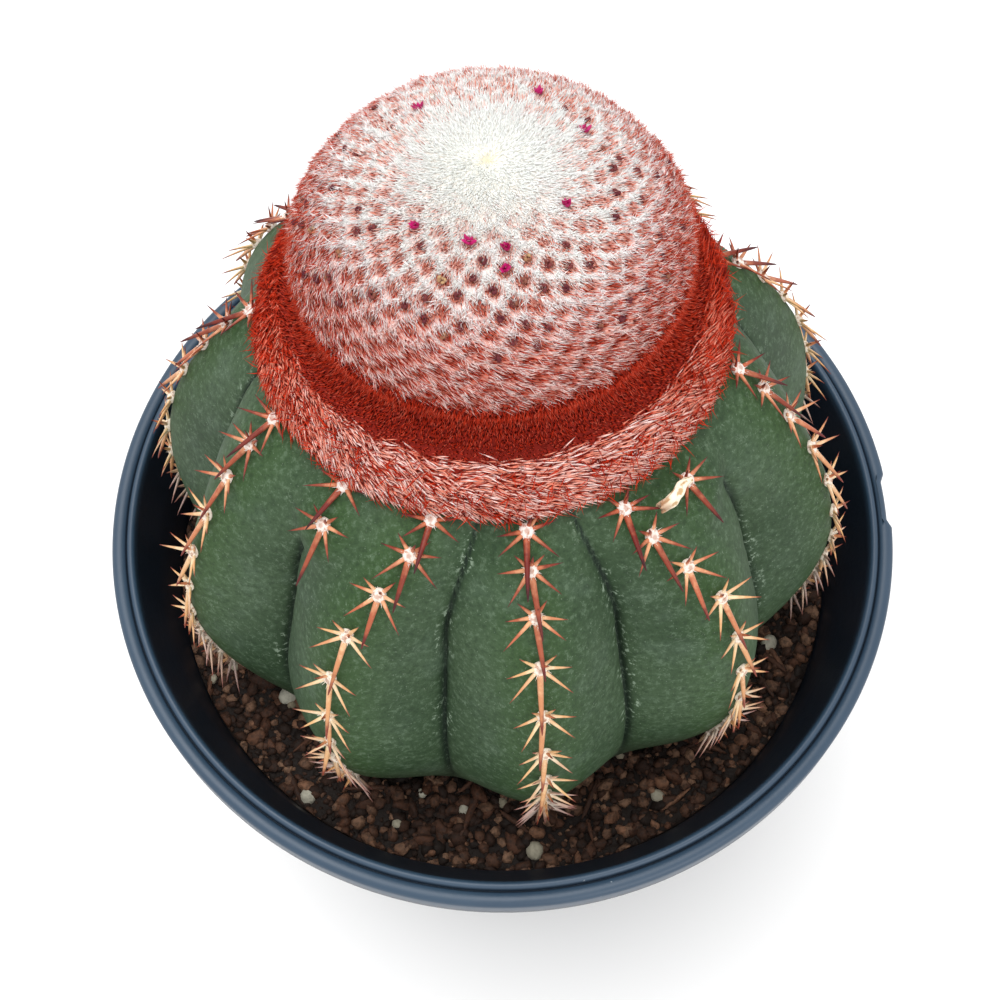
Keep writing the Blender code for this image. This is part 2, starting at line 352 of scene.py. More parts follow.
def add_piece(name, mesh, material, slot, *stands_for):
    """A finished piece: it rides with the plant and its pot, and stands for the plain solids it covers."""
    piece = bpy.data.objects.new(name, mesh)
    bpy.context.scene.collection.objects.link(piece)
    mesh.materials.clear()
    mesh.materials.append(material)
    mesh.polygons.foreach_set("material_index", [0] * len(mesh.polygons))
    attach(piece, "root")
    if stands_for:
        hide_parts(*stands_for)
    triangles = sum(len(face.vertices) - 2 for face in mesh.polygons)
    print(f"{name}: {triangles} triangles")
    return piece


print("loft helpers ready")

# %% [markdown]
# ## The pot
#
# A nursery pot is blow-thin black plastic with a rolled rim: two beads side by side with a groove between,
# and a short skirt. The outer bead has one shallow flat, on the right. A turned outline gives all of it but
# the flat, so the loft's rings are pulled in there, and round rods cut the drain holes.

# %% Pot sizes
MOUTH_RADIUS = 0.0728
GROOVE_RADIUS = 0.0746
COLLAR_RADIUS = 0.0732
WALL_TOP = 0.0708
FLARE = 0.0060
BASE_RADIUS = 0.054
WALL = 0.0014
FLOOR = 0.002
SKIRT = 0.0065
BEAD_RISE = 0.0013
NOTCH_BEARING = math.radians(92)
NOTCH_HALF = math.radians(4.3)
NOTCH_DEPTH = 0.0009
NOTCH_END = math.radians(0.7)
DRAIN_COUNT = 8
DRAIN_RADIUS = 0.004
DRAIN_RING = 0.043
DRAIN_SIDES = 24
POT_SIDES = 288


def wall_radius(height):
    inner_base = BASE_RADIUS - WALL
    return inner_base + (WALL_TOP - inner_base) * height / RIM_TOP


def pot_outline():
    foot = RIM_TOP - BEAD_RISE
    inner_half = (GROOVE_RADIUS - MOUTH_RADIUS) / 2
    outer_half = (RIM_RADIUS - GROOVE_RADIUS) / 2
    inside = [(0.001, FLOOR), (wall_radius(FLOOR) - 0.002, FLOOR), (wall_radius(FLOOR), FLOOR + 0.002)]
    inside += [(wall_radius(height), height) for height in np.linspace(0.02, foot - FLARE, 6)]
    inner_bead = arc((MOUTH_RADIUS + inner_half, foot), (inner_half, BEAD_RISE), 180, 0, 12)
    outer_bead = arc((GROOVE_RADIUS + outer_half, foot - 0.0002), (outer_half, BEAD_RISE * 0.9), 180, 0, 16)
    low = RIM_TOP - SKIRT
    lip = arc((RIM_RADIUS - 0.0008, low + 0.0008), (0.0008, 0.0008), 0, -180, 7)
    under = [(RIM_RADIUS - 0.0016, foot - 0.0016), (COLLAR_RADIUS, foot - 0.0016)]
    side = [(BASE_RADIUS + 0.0005, 0.004), (BASE_RADIUS, 0.0015), (BASE_RADIUS - 0.0015, 0.0), (0.001, 0.0)]
    return np.array(inside + inner_bead + outer_bead[1:] + lip + under + side)


def notch_depth(bearing):
    """How far the outer bead is pulled in: one flat with steep ends, on the right."""
    away = np.abs(bearing - NOTCH_BEARING)
    return NOTCH_DEPTH * np.clip((NOTCH_HALF - away) / NOTCH_END, 0, 1)


def pot_mesh():
    outline = pot_outline()
    bearing = around(POT_SIDES)[None, :]
    radius = np.repeat(outline[:, :1], POT_SIDES, axis=1)
    height = outline[:, 1:]
    on_bead = np.clip((radius - GROOVE_RADIUS - 0.0009) / 0.0007, 0, 1) * (height > RIM_TOP - SKIRT - 0.001)
    return loft("pot_shell", ring_points(radius - notch_depth(bearing) * on_bead, bearing, height))


def cut_drains(mesh):
    """Eight holes through the floor, cut by rods in a Boolean modifier."""
    rods = bpy.data.meshes.new("drain rods")
    turns = np.radians(np.arange(DRAIN_COUNT) * 45 + 22.5)
    circle = np.radians(np.arange(DRAIN_SIDES) * 15)
    points = []
    faces = []
    for turn in turns:
        first = len(points)
        for height in (-0.004, 0.008):
            for a in circle:
                points.append((DRAIN_RING * math.cos(turn) + DRAIN_RADIUS * math.cos(a),
                               DRAIN_RING * math.sin(turn) + DRAIN_RADIUS * math.sin(a), height))
        low = list(range(first, first + DRAIN_SIDES))
        high = [i + DRAIN_SIDES for i in low]
        faces += [low[::-1], high]
        faces += list(zip(low, low[1:] + low[:1], high[1:] + high[:1], high))
    rods.from_pydata(points, [], faces)
    return boolean_difference(mesh, rods)


def boolean_difference(mesh, tool_mesh):
    body, tool = (bpy.data.objects.new("work", m) for m in (mesh, tool_mesh))
    for thing in (body, tool):
        bpy.context.scene.collection.objects.link(thing)
    boolean = body.modifiers.new("drains", "BOOLEAN")
    boolean.solver = "EXACT"
    boolean.object = tool
    result = plain_result(body)
    bpy.data.objects.remove(tool)
    return result


def plain_result(thing):
    """The mesh that an object's modifiers give, with the object itself taken away."""
    bpy.context.view_layer.update()
    evaluated = thing.evaluated_get(bpy.context.evaluated_depsgraph_get())
    result = bpy.data.meshes.new_from_object(evaluated)
    bpy.data.objects.remove(thing)
    return result


# %% [markdown]
# ## Pot plastic
#
# Black polypropylene that has stood outdoors goes slate blue where it is rubbed and dusty, which is the
# rim. Inside the mouth it stays near black, partly its own colour and partly painted shade, and the
# groove between the beads and the skirt under the rim are painted darker, as shade. Radius and height
# tell these apart. Faint scuffs and a few pale specks of dust and lime sit on the rim, and the moulded
# surface has the finest grain.

# %% Pot material and piece
def pot_plastic(graph):
    place = object_place(graph)
    x, y, z = graph.split(place)
    radius = (x * x + y * y) ** 0.5
    # near black inside the mouth: partly the plastic's own black, partly painted shade
    inside = 1 - radius.ramp_between(MOUTH_RADIUS - 0.0004, MOUTH_RADIUS + 0.0005)
    # painted shade: the groove between the beads is darkened
    groove_shade = 1 - (radius - GROOVE_RADIUS).math("ABSOLUTE").ramp_between(0.0001, 0.00045)
    on_top = z.ramp_between(RIM_TOP - SKIRT - 0.0005, RIM_TOP - SKIRT + 0.001)
    cloud = graph.noise(55.0, 4.0, 0.6, place)
    slate = graph.blend((0.016, 0.037, 0.068, 1), (0.032, 0.062, 0.100, 1), cloud)
    black = graph.blend((0.003, 0.006, 0.012, 1), (0.005, 0.011, 0.021, 1), cloud)
    # painted shade: the skirt under the rim is darkened
    shaded = z.ramp_between(RIM_TOP - 0.0052, RIM_TOP - 0.0024) * 0.60 + 0.40
    # slate where rubbed and dusty, with painted shade inside the mouth, in the groove and on the skirt
    rubbed_and_shaded = graph.blend(black, slate, on_top * (1 - inside) * (1 - groove_shade * 0.8) * shaded)
    specks = graph.noise(900.0, 2.0, 0.6, place).ramp_between(0.735, 0.78)
    patches = graph.noise(38.0, 3.0, 0.5, graph.added(place, (0.31, 0.17, 0.05))).ramp_between(0.56, 0.66)
    dust = (specks * patches * on_top * (1 - inside)).clamp()
    streaks = graph.noise(420.0, 2.0, 0.7, graph.vector_math("MULTIPLY", place, (0.35, 0.35, 3.0)))
    colour = graph.blend(rubbed_and_shaded, (0.42, 0.47, 0.50, 1), dust * 0.8)
    return {
        "Base Color": colour,
        "Roughness": 0.30 + cloud * 0.16 + streaks * 0.10 + dust * 0.2,
        "Normal": graph.bump(graph.noise(1400.0, 2.0, 0.5, place) + dust * 0.6, 0.12, 0.0002),
    }


plastic = new_material("slate black nursery plastic", pot_plastic, Specular_IOR_Level=0.5)
add_piece("pot_shell", cut_drains(pot_mesh()), plastic, "black nursery plastic", "pot")
print("pot mouth", MOUTH_RADIUS * 2000, "mm")

# %% [markdown]
# ## The outline of the ribs
#
# Everything on the stem follows one curve: the outline of a rib's crest, as radius against height above
# the soil. The eleven ribs stand a little wider apart at the front, the two beside the front one lean
# towards it near the cap, and two young ribs start up there where the old ones have spread apart.

# %% Crest outline and rib bearings
CREST = [
    (0.0300, -0.0130), (0.0460, -0.0110), (0.0560, 0.0010), (0.0612, 0.0150), (0.0634, 0.0290),
    (0.0624, 0.0410), (0.0586, 0.0540), (0.0506, 0.0680), (0.0400, 0.0785), (0.0230, 0.0835),
    (0.0010, 0.0845),
]
RIB_COUNT = 11
RIB_STEP = 2 * math.pi / RIB_COUNT
FRONT_RIB = math.radians(7.3)
SPREAD = math.radians(3.3)
LEAN = math.radians(12)
LEAN_START = 0.056
CROWN = 0.078
YOUNG_RIBS = [math.radians(-36), math.radians(45)]
YOUNG_START = 0.056
YOUNG_RISE = 0.016
FURROW_DEPTH = 0.0125
FURROW_FOOT, FURROW_RISE = 0.030, 0.075
FURROW_TOP, FURROW_FALL = 0.083, 0.030

crest, crest_lengths = smooth_outline(CREST, 0.0005)


def rib_bearing(rib, height):
    lean = {1: -LEAN, RIB_COUNT - 1: LEAN}.get(rib, 0.0)
    leaning = min(1.2, max(0.0, (height - LEAN_START) / (CROWN - LEAN_START)) ** 1.5)
    even = (RIB_STEP * rib + math.pi) % (2 * math.pi) - math.pi + lean * leaning
    return FRONT_RIB + even + SPREAD * math.sin(even)


def crest_at(distance):
    """Radius, height and slope of the crest outline at a distance along it."""
    radius, height = (np.interp(distance, crest_lengths, crest[:, k]) for k in (0, 1))
    ahead = [np.interp(distance + 0.0004, crest_lengths, crest[:, k]) for k in (0, 1)]
    slope = Vector((ahead[0] - radius, ahead[1] - height)).normalized()
    return radius, height, slope


print(f"a crest runs {crest_lengths[-1] * 1000:.0f} mm from foot to crown")

# %% [markdown]
# ## The stem
#
# The stem's shape is a rule: a radius for each bearing and height. It could be carved, but Geometry Nodes
# write the rule down once. A grid's two directions become bearing and distance along the crest, a curve
# object gives the outline, and the same Math nodes as in a material set each point back into its furrow.

# %% Stem tree
def tree_input(tree, name, kind, value=None):
    socket = tree.interface.new_socket(name=name, in_out="INPUT", socket_type=kind)
    if value is not None:
        socket.default_value = value


def new_tree(name, inputs):
    """An empty Geometry Nodes tree. Returns its graph and a wire for each named input."""
    tree = bpy.data.node_groups.new(name, "GeometryNodeTree")
    tree_input(tree, "Geometry", "NodeSocketGeometry")
    for label, (kind, value) in inputs.items():
        tree_input(tree, label, kind, value)
    tree.interface.new_socket(name="Geometry", in_out="OUTPUT", socket_type="NodeSocketGeometry")
    graph = Graph(tree)
    entry = tree.nodes.new("NodeGroupInput")
    return graph, {socket.name: Wire(graph, socket) for socket in entry.outputs if socket.name}


def finish_tree(graph, geometry, material):
    """Every tree ends in Realize Instances and Set Material."""
    real = graph.node("GeometryNodeRealizeInstances", {}, {"Geometry": geometry})
    dressed = graph.node("GeometryNodeSetMaterial", {}, {"Geometry": real, "Material": material})
    leave = graph.tree.nodes.new("NodeGroupOutput")
    graph.tree.links.new(dressed.socket, leave.inputs[0])
    return graph.tree


def run_tree(tree, mesh, **inputs):
    """The plain mesh that a tree makes of a mesh. Underscores in an input's name stand for spaces."""
    host = bpy.data.objects.new("work", mesh)
    bpy.context.scene.collection.objects.link(host)
    nodes = host.modifiers.new("nodes", "NODES")
    nodes.node_group = tree
    identifiers = {item.name: item.identifier for item in tree.interface.items_tree
                   if item.in_out == "INPUT"}
    for name, value in inputs.items():
        nodes[identifiers[name.replace("_", " ")]] = value
    return plain_result(host)


FLOAT, WHOLE = "NodeSocketFloat", "NodeSocketInt"


def stem_tree():
    graph, inputs = new_tree("ribbed stem", {
        "Outline": ("NodeSocketObject", None), "Sides": (WHOLE, 440), "Rings": (WHOLE, 120),
        "Rib Step": (FLOAT, RIB_STEP), "Front Rib": (FLOAT, FRONT_RIB), "Lean": (FLOAT, LEAN),
        "Furrow Depth": (FLOAT, FURROW_DEPTH), "Ripple": (FLOAT, 0.0004),
        "Material": ("NodeSocketMaterial", None),
    })
    grid = graph.node("GeometryNodeMeshGrid", {}, {0: 1.0, 1: 1.0, 2: inputs["Sides"], 3: inputs["Rings"]})
    spread, rise, _ = graph.split(graph.node("GeometryNodeInputPosition"))
    bearing = (spread + 0.5) * (2 * math.pi)
    outline = graph.node("GeometryNodeObjectInfo", {}, {"Object": inputs["Outline"]}, out=4)
    on_crest = graph.node("GeometryNodeSampleCurve", {"mode": "FACTOR"},
                          {"Curves": outline, "Factor": rise + 0.5}, out=1)
    radius, _, height = graph.split(on_crest)

    # bearings are unwarped before ribs are counted, so that the ribs may lean and spread
    from_front = (bearing - inputs["Front Rib"] + math.pi).math("FLOORED_MODULO", 2 * math.pi) - math.pi
    unspread = from_front - from_front.math("SINE") * SPREAD
    step = inputs["Rib Step"]
    leaning = (((height - LEAN_START) / (CROWN - LEAN_START)).math("MAXIMUM", 0.0) ** 1.5).clamp(0.0, 1.2)
    lean = inputs["Lean"] * leaning
    size = unspread.math("ABSOLUTE")
    inner = size * step / (step - lean)
    outer = step + (size - step + lean) * step / (step + lean)
    unwarped = size.math("MAXIMUM", inner.math("MINIMUM", outer))
    away = ((unwarped + step * 0.5).math("FLOORED_MODULO", step) - step * 0.5).math("ABSOLUTE")

    low = ((height + FURROW_FOOT) / FURROW_RISE).clamp()
    high = ((FURROW_TOP - height) / FURROW_FALL).clamp() ** 0.8
    depth = inputs["Furrow Depth"] * low * high
    back = rib_shape(away, step, 1 - height.ramp_between(0.0, 0.022))
    for young in YOUNG_RIBS:
        grown = ((height - YOUNG_START) / YOUNG_RISE).clamp()
        beside = (bearing - young + math.pi).math("FLOORED_MODULO", 2 * math.pi) - math.pi
        young_back = rib_shape(beside.math("ABSOLUTE"), step) + (1 - grown) * 1.2
        back = graph.node("ShaderNodeMath", {"operation": "SMOOTH_MIN"}, {0: back, 1: young_back, 2: 0.12})
    furrow = back.clamp()
    ripple = graph.noise(55.0, 3.0, 0.5) - 0.5
    reach = (radius - depth * back).math("MAXIMUM", radius * 0.3) + ripple * inputs["Ripple"] * low
    place = graph.node("ShaderNodeCombineXYZ", {}, {
        0: reach * bearing.math("SINE"), 1: reach * bearing.math("COSINE") * -1, 2: height})

    kept = store(graph, grid, "furrow", furrow)
    kept = store(graph, kept, "rise", height * 10)
    moved = graph.node("GeometryNodeSetPosition", {}, {"Geometry": kept, "Position": place})
    joined = graph.node("GeometryNodeMergeByDistance", {}, {"Geometry": moved, "Distance": 0.00001})
    smooth = graph.node("GeometryNodeSetShadeSmooth", {}, {"Geometry": joined})
    return finish_tree(graph, smooth, inputs["Material"])


def rib_shape(away, step, foot=0.0):
    """0 on a crest and 1 half a rib away: flat flanks meet in a crease, which opens out at the foot."""
    part = away / (step * 0.5)
    ridge = ((part * part + 0.02) ** 0.5 - 0.1414) / 0.8686
    crease = ridge * 0.81 + part ** 10 * 0.10 + ((part - 0.955) / 0.045).clamp() ** 1.3 * 0.09
    valley = (part * (math.pi / 2)).math("SINE") * 0.36 + (1 - (part * math.pi).math("COSINE")) * 0.27
    return crease * (1 - foot) + valley * foot


def store(graph, geometry, name, value, kind="FLOAT", domain="POINT"):
    return graph.node("GeometryNodeStoreNamedAttribute", {"data_type": kind, "domain": domain},
                      {"Geometry": geometry, "Name": name, "Value": value})


def outline_curve(name, points):
    """A smooth curve object through (radius, height) points, in the XZ plane."""
    data = bpy.data.curves.new(name, "CURVE")
    data.dimensions = "3D"
    spline = data.splines.new("POLY")
    spline.points.add(len(points) - 1)
    for point, (radius, height) in zip(spline.points, points):
        point.co = (radius, 0.0, height, 1.0)
    thing = bpy.data.objects.new(name, data)
    bpy.context.scene.collection.objects.link(thing)
    return thing


# %% [markdown]
# ## The skin
#
# The skin is a waxy, matte blue-green, greyer on the flanks, where the bloom isn't rubbed off. Down in
# the furrows it is painted darker and bluer, as shade. Up close it is covered with tiny pale flecks, the
# pores, which gather into short curly marks. Towards the soil it turns a duller, yellower green.

# %% Skin material and stem piece
def waxy_skin(graph):
    place = object_place(graph)
    furrow = graph.attribute("furrow")
    rise = graph.attribute("rise") * 0.1
    cloud = graph.noise(38.0, 4.0, 0.55, place)
    patch = graph.noise(110.0, 3.0, 0.6, graph.added(place, (0.2, 0.4, 0.1)))
    flank = graph.blend((0.024, 0.051, 0.021, 1), (0.045, 0.080, 0.038, 1), cloud.ramp_between(0.35, 0.68))
    # painted shade: the skin darkens to near black down in each furrow
    furrow_shaded = graph.blend(flank, (0.004, 0.012, 0.007, 1), furrow.ramp_between(0.76, 0.95) * 0.9)
    bright = graph.blend(furrow_shaded, (0.030, 0.072, 0.016, 1), (1 - furrow.ramp_between(0.0, 0.45)) * 0.6)
    foot = graph.blend(bright, (0.052, 0.066, 0.034, 1), (1 - rise.ramp_between(0.0, 0.022)) * 0.5)
    mottled = graph.blend(foot, (0.066, 0.104, 0.068, 1), patch.ramp_between(0.50, 0.75) * 0.45)
    grain = graph.noise(900.0, 3.0, 0.7, place)
    grained = graph.blend(mottled, (0.120, 0.180, 0.115, 1), grain.ramp_between(0.50, 0.70) * 0.42)
    grained = graph.blend(grained, (0.010, 0.024, 0.010, 1), (1 - grain.ramp_between(0.32, 0.50)) * 0.45)
    stretched = graph.vector_math("MULTIPLY", place, (1, 1, 0.6))
    flecks = graph.noise(2600.0, 1.5, 0.6, stretched).ramp_between(0.66, 0.76)
    curls = 1 - (graph.noise(520.0, 2.0, 0.6, place) - 0.5).math("ABSOLUTE").ramp_between(0.004, 0.016)
    curl_zone = graph.noise(300.0, 2.0, 0.5, graph.added(place, (0.7, 0.1, 0.3))).ramp_between(0.56, 0.64)
    scurf = graph.noise(900.0, 3.0, 0.65, place).ramp_between(0.56, 0.64) \
        * furrow.ramp_between(0.70, 0.78) * (1 - furrow.ramp_between(0.86, 0.92)) \
        * graph.noise(60.0, 2.0, 0.5, graph.added(place, (0.3, 0.8, 0.5))).ramp_between(0.48, 0.56)
    marks = (flecks * 0.30 + curls * curl_zone * 0.16 + scurf * 0.7).clamp()
    colour = graph.blend(grained, (0.28, 0.36, 0.27, 1), marks)
    return {
        "Base Color": colour,
        "Roughness": 0.58 + cloud * 0.16 - marks * 0.05,
        "Normal": graph.bump(graph.noise(1500.0, 2.0, 0.5, place) + marks * 0.5, 0.18, 0.0002),
    }


skin = new_material("waxy green skin", waxy_skin, Specular_IOR_Level=0.22)
crest_curve = outline_curve("crest outline", crest)
stem_mesh = run_tree(stem_tree(), bpy.data.meshes.new("seed"), Outline=crest_curve, Sides=881, Rings=56,
                     Rib_Step=RIB_STEP, Front_Rib=FRONT_RIB, Lean=LEAN, Furrow_Depth=FURROW_DEPTH,
                     Ripple=0.0004, Material=skin)
bpy.data.objects.remove(crest_curve)
stem_mesh.transform(PLANT)
add_piece("stem_body", stem_mesh, skin, "green skin", "stem")

# %% [markdown]
# ## The bark mix: its bed
#
# The mix is bark, peat and perlite, pressed in round the plant. A lumpy bed fills the pot, with a hollow
# where the ribs go in, and loose grains lie over it. The hollow's outline is measured from the stem's own
# mesh, so every furrow is filled.

# %% Bed
WALL_GAP = 0.0003


def stem_outline_at_soil(sides):
    """The stem's largest radius at each bearing, near the soil's surface, in the world."""
    points = np.empty(len(stem_mesh.vertices) * 3)
    stem_mesh.vertices.foreach_get("co", points)
    points = points.reshape(-1, 3)
    points = points[(points[:, 2] > SOIL - 0.004) & (points[:, 2] < SOIL + 0.002)]
    bins = np.round(np.arctan2(points[:, 0], -points[:, 1]) / (2 * math.pi) * sides).astype(int) % sides
    radius = np.zeros(sides)
    np.maximum.at(radius, bins, np.hypot(points[:, 0], points[:, 1]))
    for _ in range(2):
        radius = np.where(radius == 0, np.maximum(np.roll(radius, 1), np.roll(radius, -1)), radius)
    return radius


def lump(points, scale, height, seed):
    """A height for each point from smooth noise."""
    flat = points.reshape(-1, 3)
    heights = [noise.noise(Vector(p) * scale + Vector((seed, 0, 0))) for p in flat]
    return np.array(heights).reshape(points.shape[:-1]) * height


def bed_mesh(sides=200, rings=14):
    bearing = around(sides)
    inner = stem_outline_at_soil(sides) + 0.0004
    outer = wall_radius(SOIL) - WALL_GAP
    part = np.minimum(1.0, np.linspace(0, 1 + 1 / (rings - 2), rings))[:, None]
    radius = inner + (outer - inner) * part
    top = ring_points(radius, bearing, SOIL)
    edge = np.minimum(1.0, (1 - part) * 6 + 0.25)
    top[..., 2] += (lump(top, 160, 0.0016, 3.0) + lump(top, 420, 0.0009, 9.0)) * edge - 0.0011
    top[-1, :, 2] = top[-2, :, 2] - 0.0006
    floor = ring_points(inner * 0.96, bearing, SOIL - 0.020)
    low = FLOOR + WALL_GAP
    side = np.stack([ring_points(wall_radius(h) - WALL_GAP, bearing, h) for h in (0.07, low)])
    below = ring_points(0.02, bearing, low)
    rings_all = np.concatenate([floor[None], top, side, below[None]])
    on_top = np.zeros(rings_all.shape[:2])
    on_top[1:rings] = 1.0
    return loft("mix_bed", rings_all, {"top": on_top})


# %% [markdown]
# ## The bark mix: its grains
#
# Grains are scattered over the bed by one tree. It picks points on the upper faces, puts a lumpy crumb on
# each, and turns and stretches it at random. Different inputs make peat crumbs, bark chips, sticks and
# the round, pale beads of perlite. A peat crumb has only twenty faces, because there are thousands. Any point
# that would pass through the pot's wall is drawn back inside it.

# %% Grain tree
def random_value(graph, low, high, seed):
    return graph.node("FunctionNodeRandomValue", {"data_type": "FLOAT"}, {2: low, 3: high, 8: seed}, out=1)


def combined(graph, x, y, z):
    return graph.node("ShaderNodeCombineXYZ", {}, {0: x, 1: y, 2: z})


def grain_tree():
    graph, inputs = new_tree("grains on a bed", {
        "Density": (FLOAT, 300000.0), "Size": (FLOAT, 0.0015), "Spread": (FLOAT, 0.5),
        "Stretch": (FLOAT, 1.3), "Flatness": (FLOAT, 0.7), "Tumble": (FLOAT, 1.0), "Roundness": (WHOLE, 1),
        "Lumpiness": (FLOAT, 0.5), "Sink": (FLOAT, 0.1), "Reach": (FLOAT, 1.0), "Seed": (WHOLE, 0),
        "Material": ("NodeSocketMaterial", None),
    })
    seed = inputs["Seed"]
    top = graph.node("GeometryNodeInputNamedAttribute", {"data_type": "FLOAT"}, {"Name": "top"})
    upward = graph.split(graph.node("GeometryNodeInputNormal"))[2]
    chosen = (top * upward.ramp_between(0.5, 0.7)) * inputs["Density"]
    points = graph.node("GeometryNodeDistributePointsOnFaces", {"distribute_method": "RANDOM"},
                        {"Mesh": inputs["Geometry"], "Density": chosen, "Seed": seed})
    toned = store(graph, points, "tone", random_value(graph, 0.0, 1.0, seed + 5))
    ball = graph.node("GeometryNodeMeshIcoSphere", {}, {"Radius": 0.5, "Subdivisions": inputs["Roundness"]})
    dents = graph.node("ShaderNodeTexNoise", {"noise_dimensions": "4D"},
                       {"W": seed * 1.7, "Scale": 2.2}, out=1)
    dent = graph.added(dents, (-0.5, -0.5, -0.5))
    crumb = graph.node("GeometryNodeSetPosition", {}, {"Geometry": ball,
                                                       "Offset": graph.scaled(dent, inputs["Lumpiness"])})
    lot = random_value(graph, 0.0, 1.0, seed + 1)
    size = inputs["Size"] * (1 - inputs["Spread"] + inputs["Spread"] * 2.0 * lot * lot)
    scale = combined(graph, size * inputs["Stretch"] * random_value(graph, 0.75, 1.3, seed + 2), size,
                     size * inputs["Flatness"])
    tilt = inputs["Tumble"] * math.pi
    turn = combined(graph, tilt * random_value(graph, -1.0, 1.0, seed + 3),
                    tilt * random_value(graph, -1.0, 1.0, seed + 4),
                    random_value(graph, 0.0, 2 * math.pi, seed + 6))
    placed = graph.node("GeometryNodeInstanceOnPoints", {}, {
        "Points": toned, "Instance": crumb, "Rotation": turn, "Scale": scale})
    real = graph.node("GeometryNodeRealizeInstances", {}, {"Geometry": placed})
    spot = graph.node("GeometryNodeInputPosition")
    flat = graph.vector_math("MULTIPLY", spot, (1, 1, 0))
    radius = graph.node("ShaderNodeVectorMath", {"operation": "LENGTH"}, {0: flat}, out=1)
    beyond = (radius - inputs["Reach"]).math("MAXIMUM", 0.0)
    kept_in = graph.added(graph.scaled(flat, beyond / radius * -1.0),
                          combined(graph, 0.0, 0.0, inputs["Sink"] * -0.001))
    lifted = graph.node("GeometryNodeSetPosition", {}, {"Geometry": real, "Offset": kept_in})
    smooth = graph.node("GeometryNodeSetShadeSmooth", {}, {"Geometry": lifted})
    return finish_tree(graph, smooth, inputs["Material"])


# %% [markdown]
# ## Soil colours
#
# Damp bark is nearly black, dry bark is reddish brown, and a few crumbs are tan. Each grain carries a
# random tone, which picks its colour from a ramp; noise then breaks it up. Perlite is off-white, a little
# stained, and pitted all over.

# %% Soil materials and pieces
def crumb_colours(stops, contrast):
    def build(graph):
        place = object_place(graph)
        tone = graph.attribute("tone")
        grain = graph.noise(1100.0, 3.0, 0.65, place)
        base = graph.stops(tone, stops)
        shaded = graph.blend(base, (0.012, 0.008, 0.006, 1), (1 - grain.ramp_between(0.30, 0.62)) * contrast)
        return {"Base Color": shaded, "Roughness": 0.58 + grain * 0.35,
                "Normal": graph.bump(grain, 0.6, 0.0005)}
    return build


DAMP = [(0.0, (0.010, 0.005, 0.003)), (0.45, (0.038, 0.016, 0.009)), (0.75, (0.092, 0.042, 0.024)),
        (1.0, (0.250, 0.140, 0.085))]
BARK = [(0.0, (0.032, 0.013, 0.007)), (0.6, (0.092, 0.037, 0.019)), (1.0, (0.230, 0.112, 0.062))]
PERLITE = [(0.0, (0.26, 0.22, 0.15)), (0.5, (0.40, 0.37, 0.28)), (1.0, (0.58, 0.56, 0.46))]

peat = new_material("damp peat and bark", crumb_colours(DAMP, 0.70), Specular_IOR_Level=0.3)
bark = new_material("dry bark", crumb_colours(BARK, 0.60), Specular_IOR_Level=0.35)
perlite = new_material("perlite", crumb_colours(PERLITE, 0.25), Specular_IOR_Level=0.3)

bed = bed_mesh()
grains = grain_tree()


def scatter(name, material, **inputs):
    mesh = run_tree(grains, bed, Material=material, Reach=wall_radius(SOIL - 0.002) - 0.0001, **inputs)
    return add_piece(name, mesh, material, "potting mix")


scatter("peat_crumbs", peat, Density=520000.0, Size=0.0021, Spread=0.6, Stretch=1.2, Flatness=0.85,
        Tumble=1.0, Roundness=1, Lumpiness=0.75, Sink=0.0, Seed=11)
scatter("bark_chips", bark, Density=85000.0, Size=0.0022, Spread=0.6, Stretch=1.3, Flatness=0.75,
        Tumble=0.6, Roundness=2, Lumpiness=0.7, Sink=0.1, Seed=23)
scatter("bark_sticks", bark, Density=7500.0, Size=0.0012, Spread=0.3, Stretch=8.0, Flatness=0.8,
        Tumble=0.06, Roundness=2, Lumpiness=0.6, Sink=-0.8, Seed=37)
scatter("perlite_beads", perlite, Density=5200.0, Size=0.0032, Spread=0.35, Stretch=1.05, Flatness=0.92,
        Tumble=1.0, Roundness=2, Lumpiness=0.25, Sink=-0.4, Seed=41)
add_piece("mix_bed", bed, peat, "potting mix", "potting_mix")

# %% [markdown]
# ## Areoles and spines: where they sit
#
# A cactus's spines grow from woolly cushions, the areoles, in a row down each crest. They come close
# together at the crown, spread as the stem swells, and crowd again at the old foot. The rows are worked
# out here once, as a frame for each areole: out of the stem, up the crest, and across.

# %% Areole frames
rng = np.random.default_rng(7)
ROW_COUNT = 11
TOP_AREOLE = 0.0785


def areole_distances(start):
    """Distances along the crest, from near the cap down to the soil."""
    distance = start
    for row in range(ROW_COUNT):
        yield row, distance
        distance -= 0.0056 + 0.0045 * math.sin(math.pi * min(1.0, (row + 0.2) / 7))


def areole_frame(bearing, distance):
    radius, height, slope = crest_at(distance)
    level = Vector((math.sin(bearing), -math.cos(bearing), 0))
    up = (level * slope.x + Vector((0, 0, slope.y))).normalized()
    out = (level * slope.y - Vector((0, 0, slope.x))).normalized()
    return level * radius + Vector((0, 0, height)), out, up, height


def all_areoles():
    """Place, outward, up and age of every areole. Age is 0 at the cap and 1 at the soil."""
    top = crest_lengths[np.argmax(crest[:, 1] > TOP_AREOLE)] + 0.0015
    found = []
    for rib in range(RIB_COUNT):
        for row, distance in areole_distances(top - rng.uniform(0.0, 0.0035)):
            height = crest_at(distance)[1]
            if height > 0.0015:
                found.append((*areole_frame(rib_bearing(rib, height), distance), min(1.0, row / 8)))
    for young, first, rows in zip(YOUNG_RIBS, (0.0010, 0.0050), (2, 1)):
        for row in range(rows):
            found.append((*areole_frame(young, top - first - row * 0.0072), row / 8))
    return found


areoles = all_areoles()
print(len(areoles), "areoles")

# %% [markdown]
# ## Shapes set on points
#
# Spines, wool, petals and dry crumbs are all one thing to Geometry Nodes: a small shape set on each point,
# with its long axis along an aim. A spine is a line with a bend, swept with a round section that tapers,
# and a strand of wool is the same with three sides. Each keeps how far along it a point lies, for its
# colour.

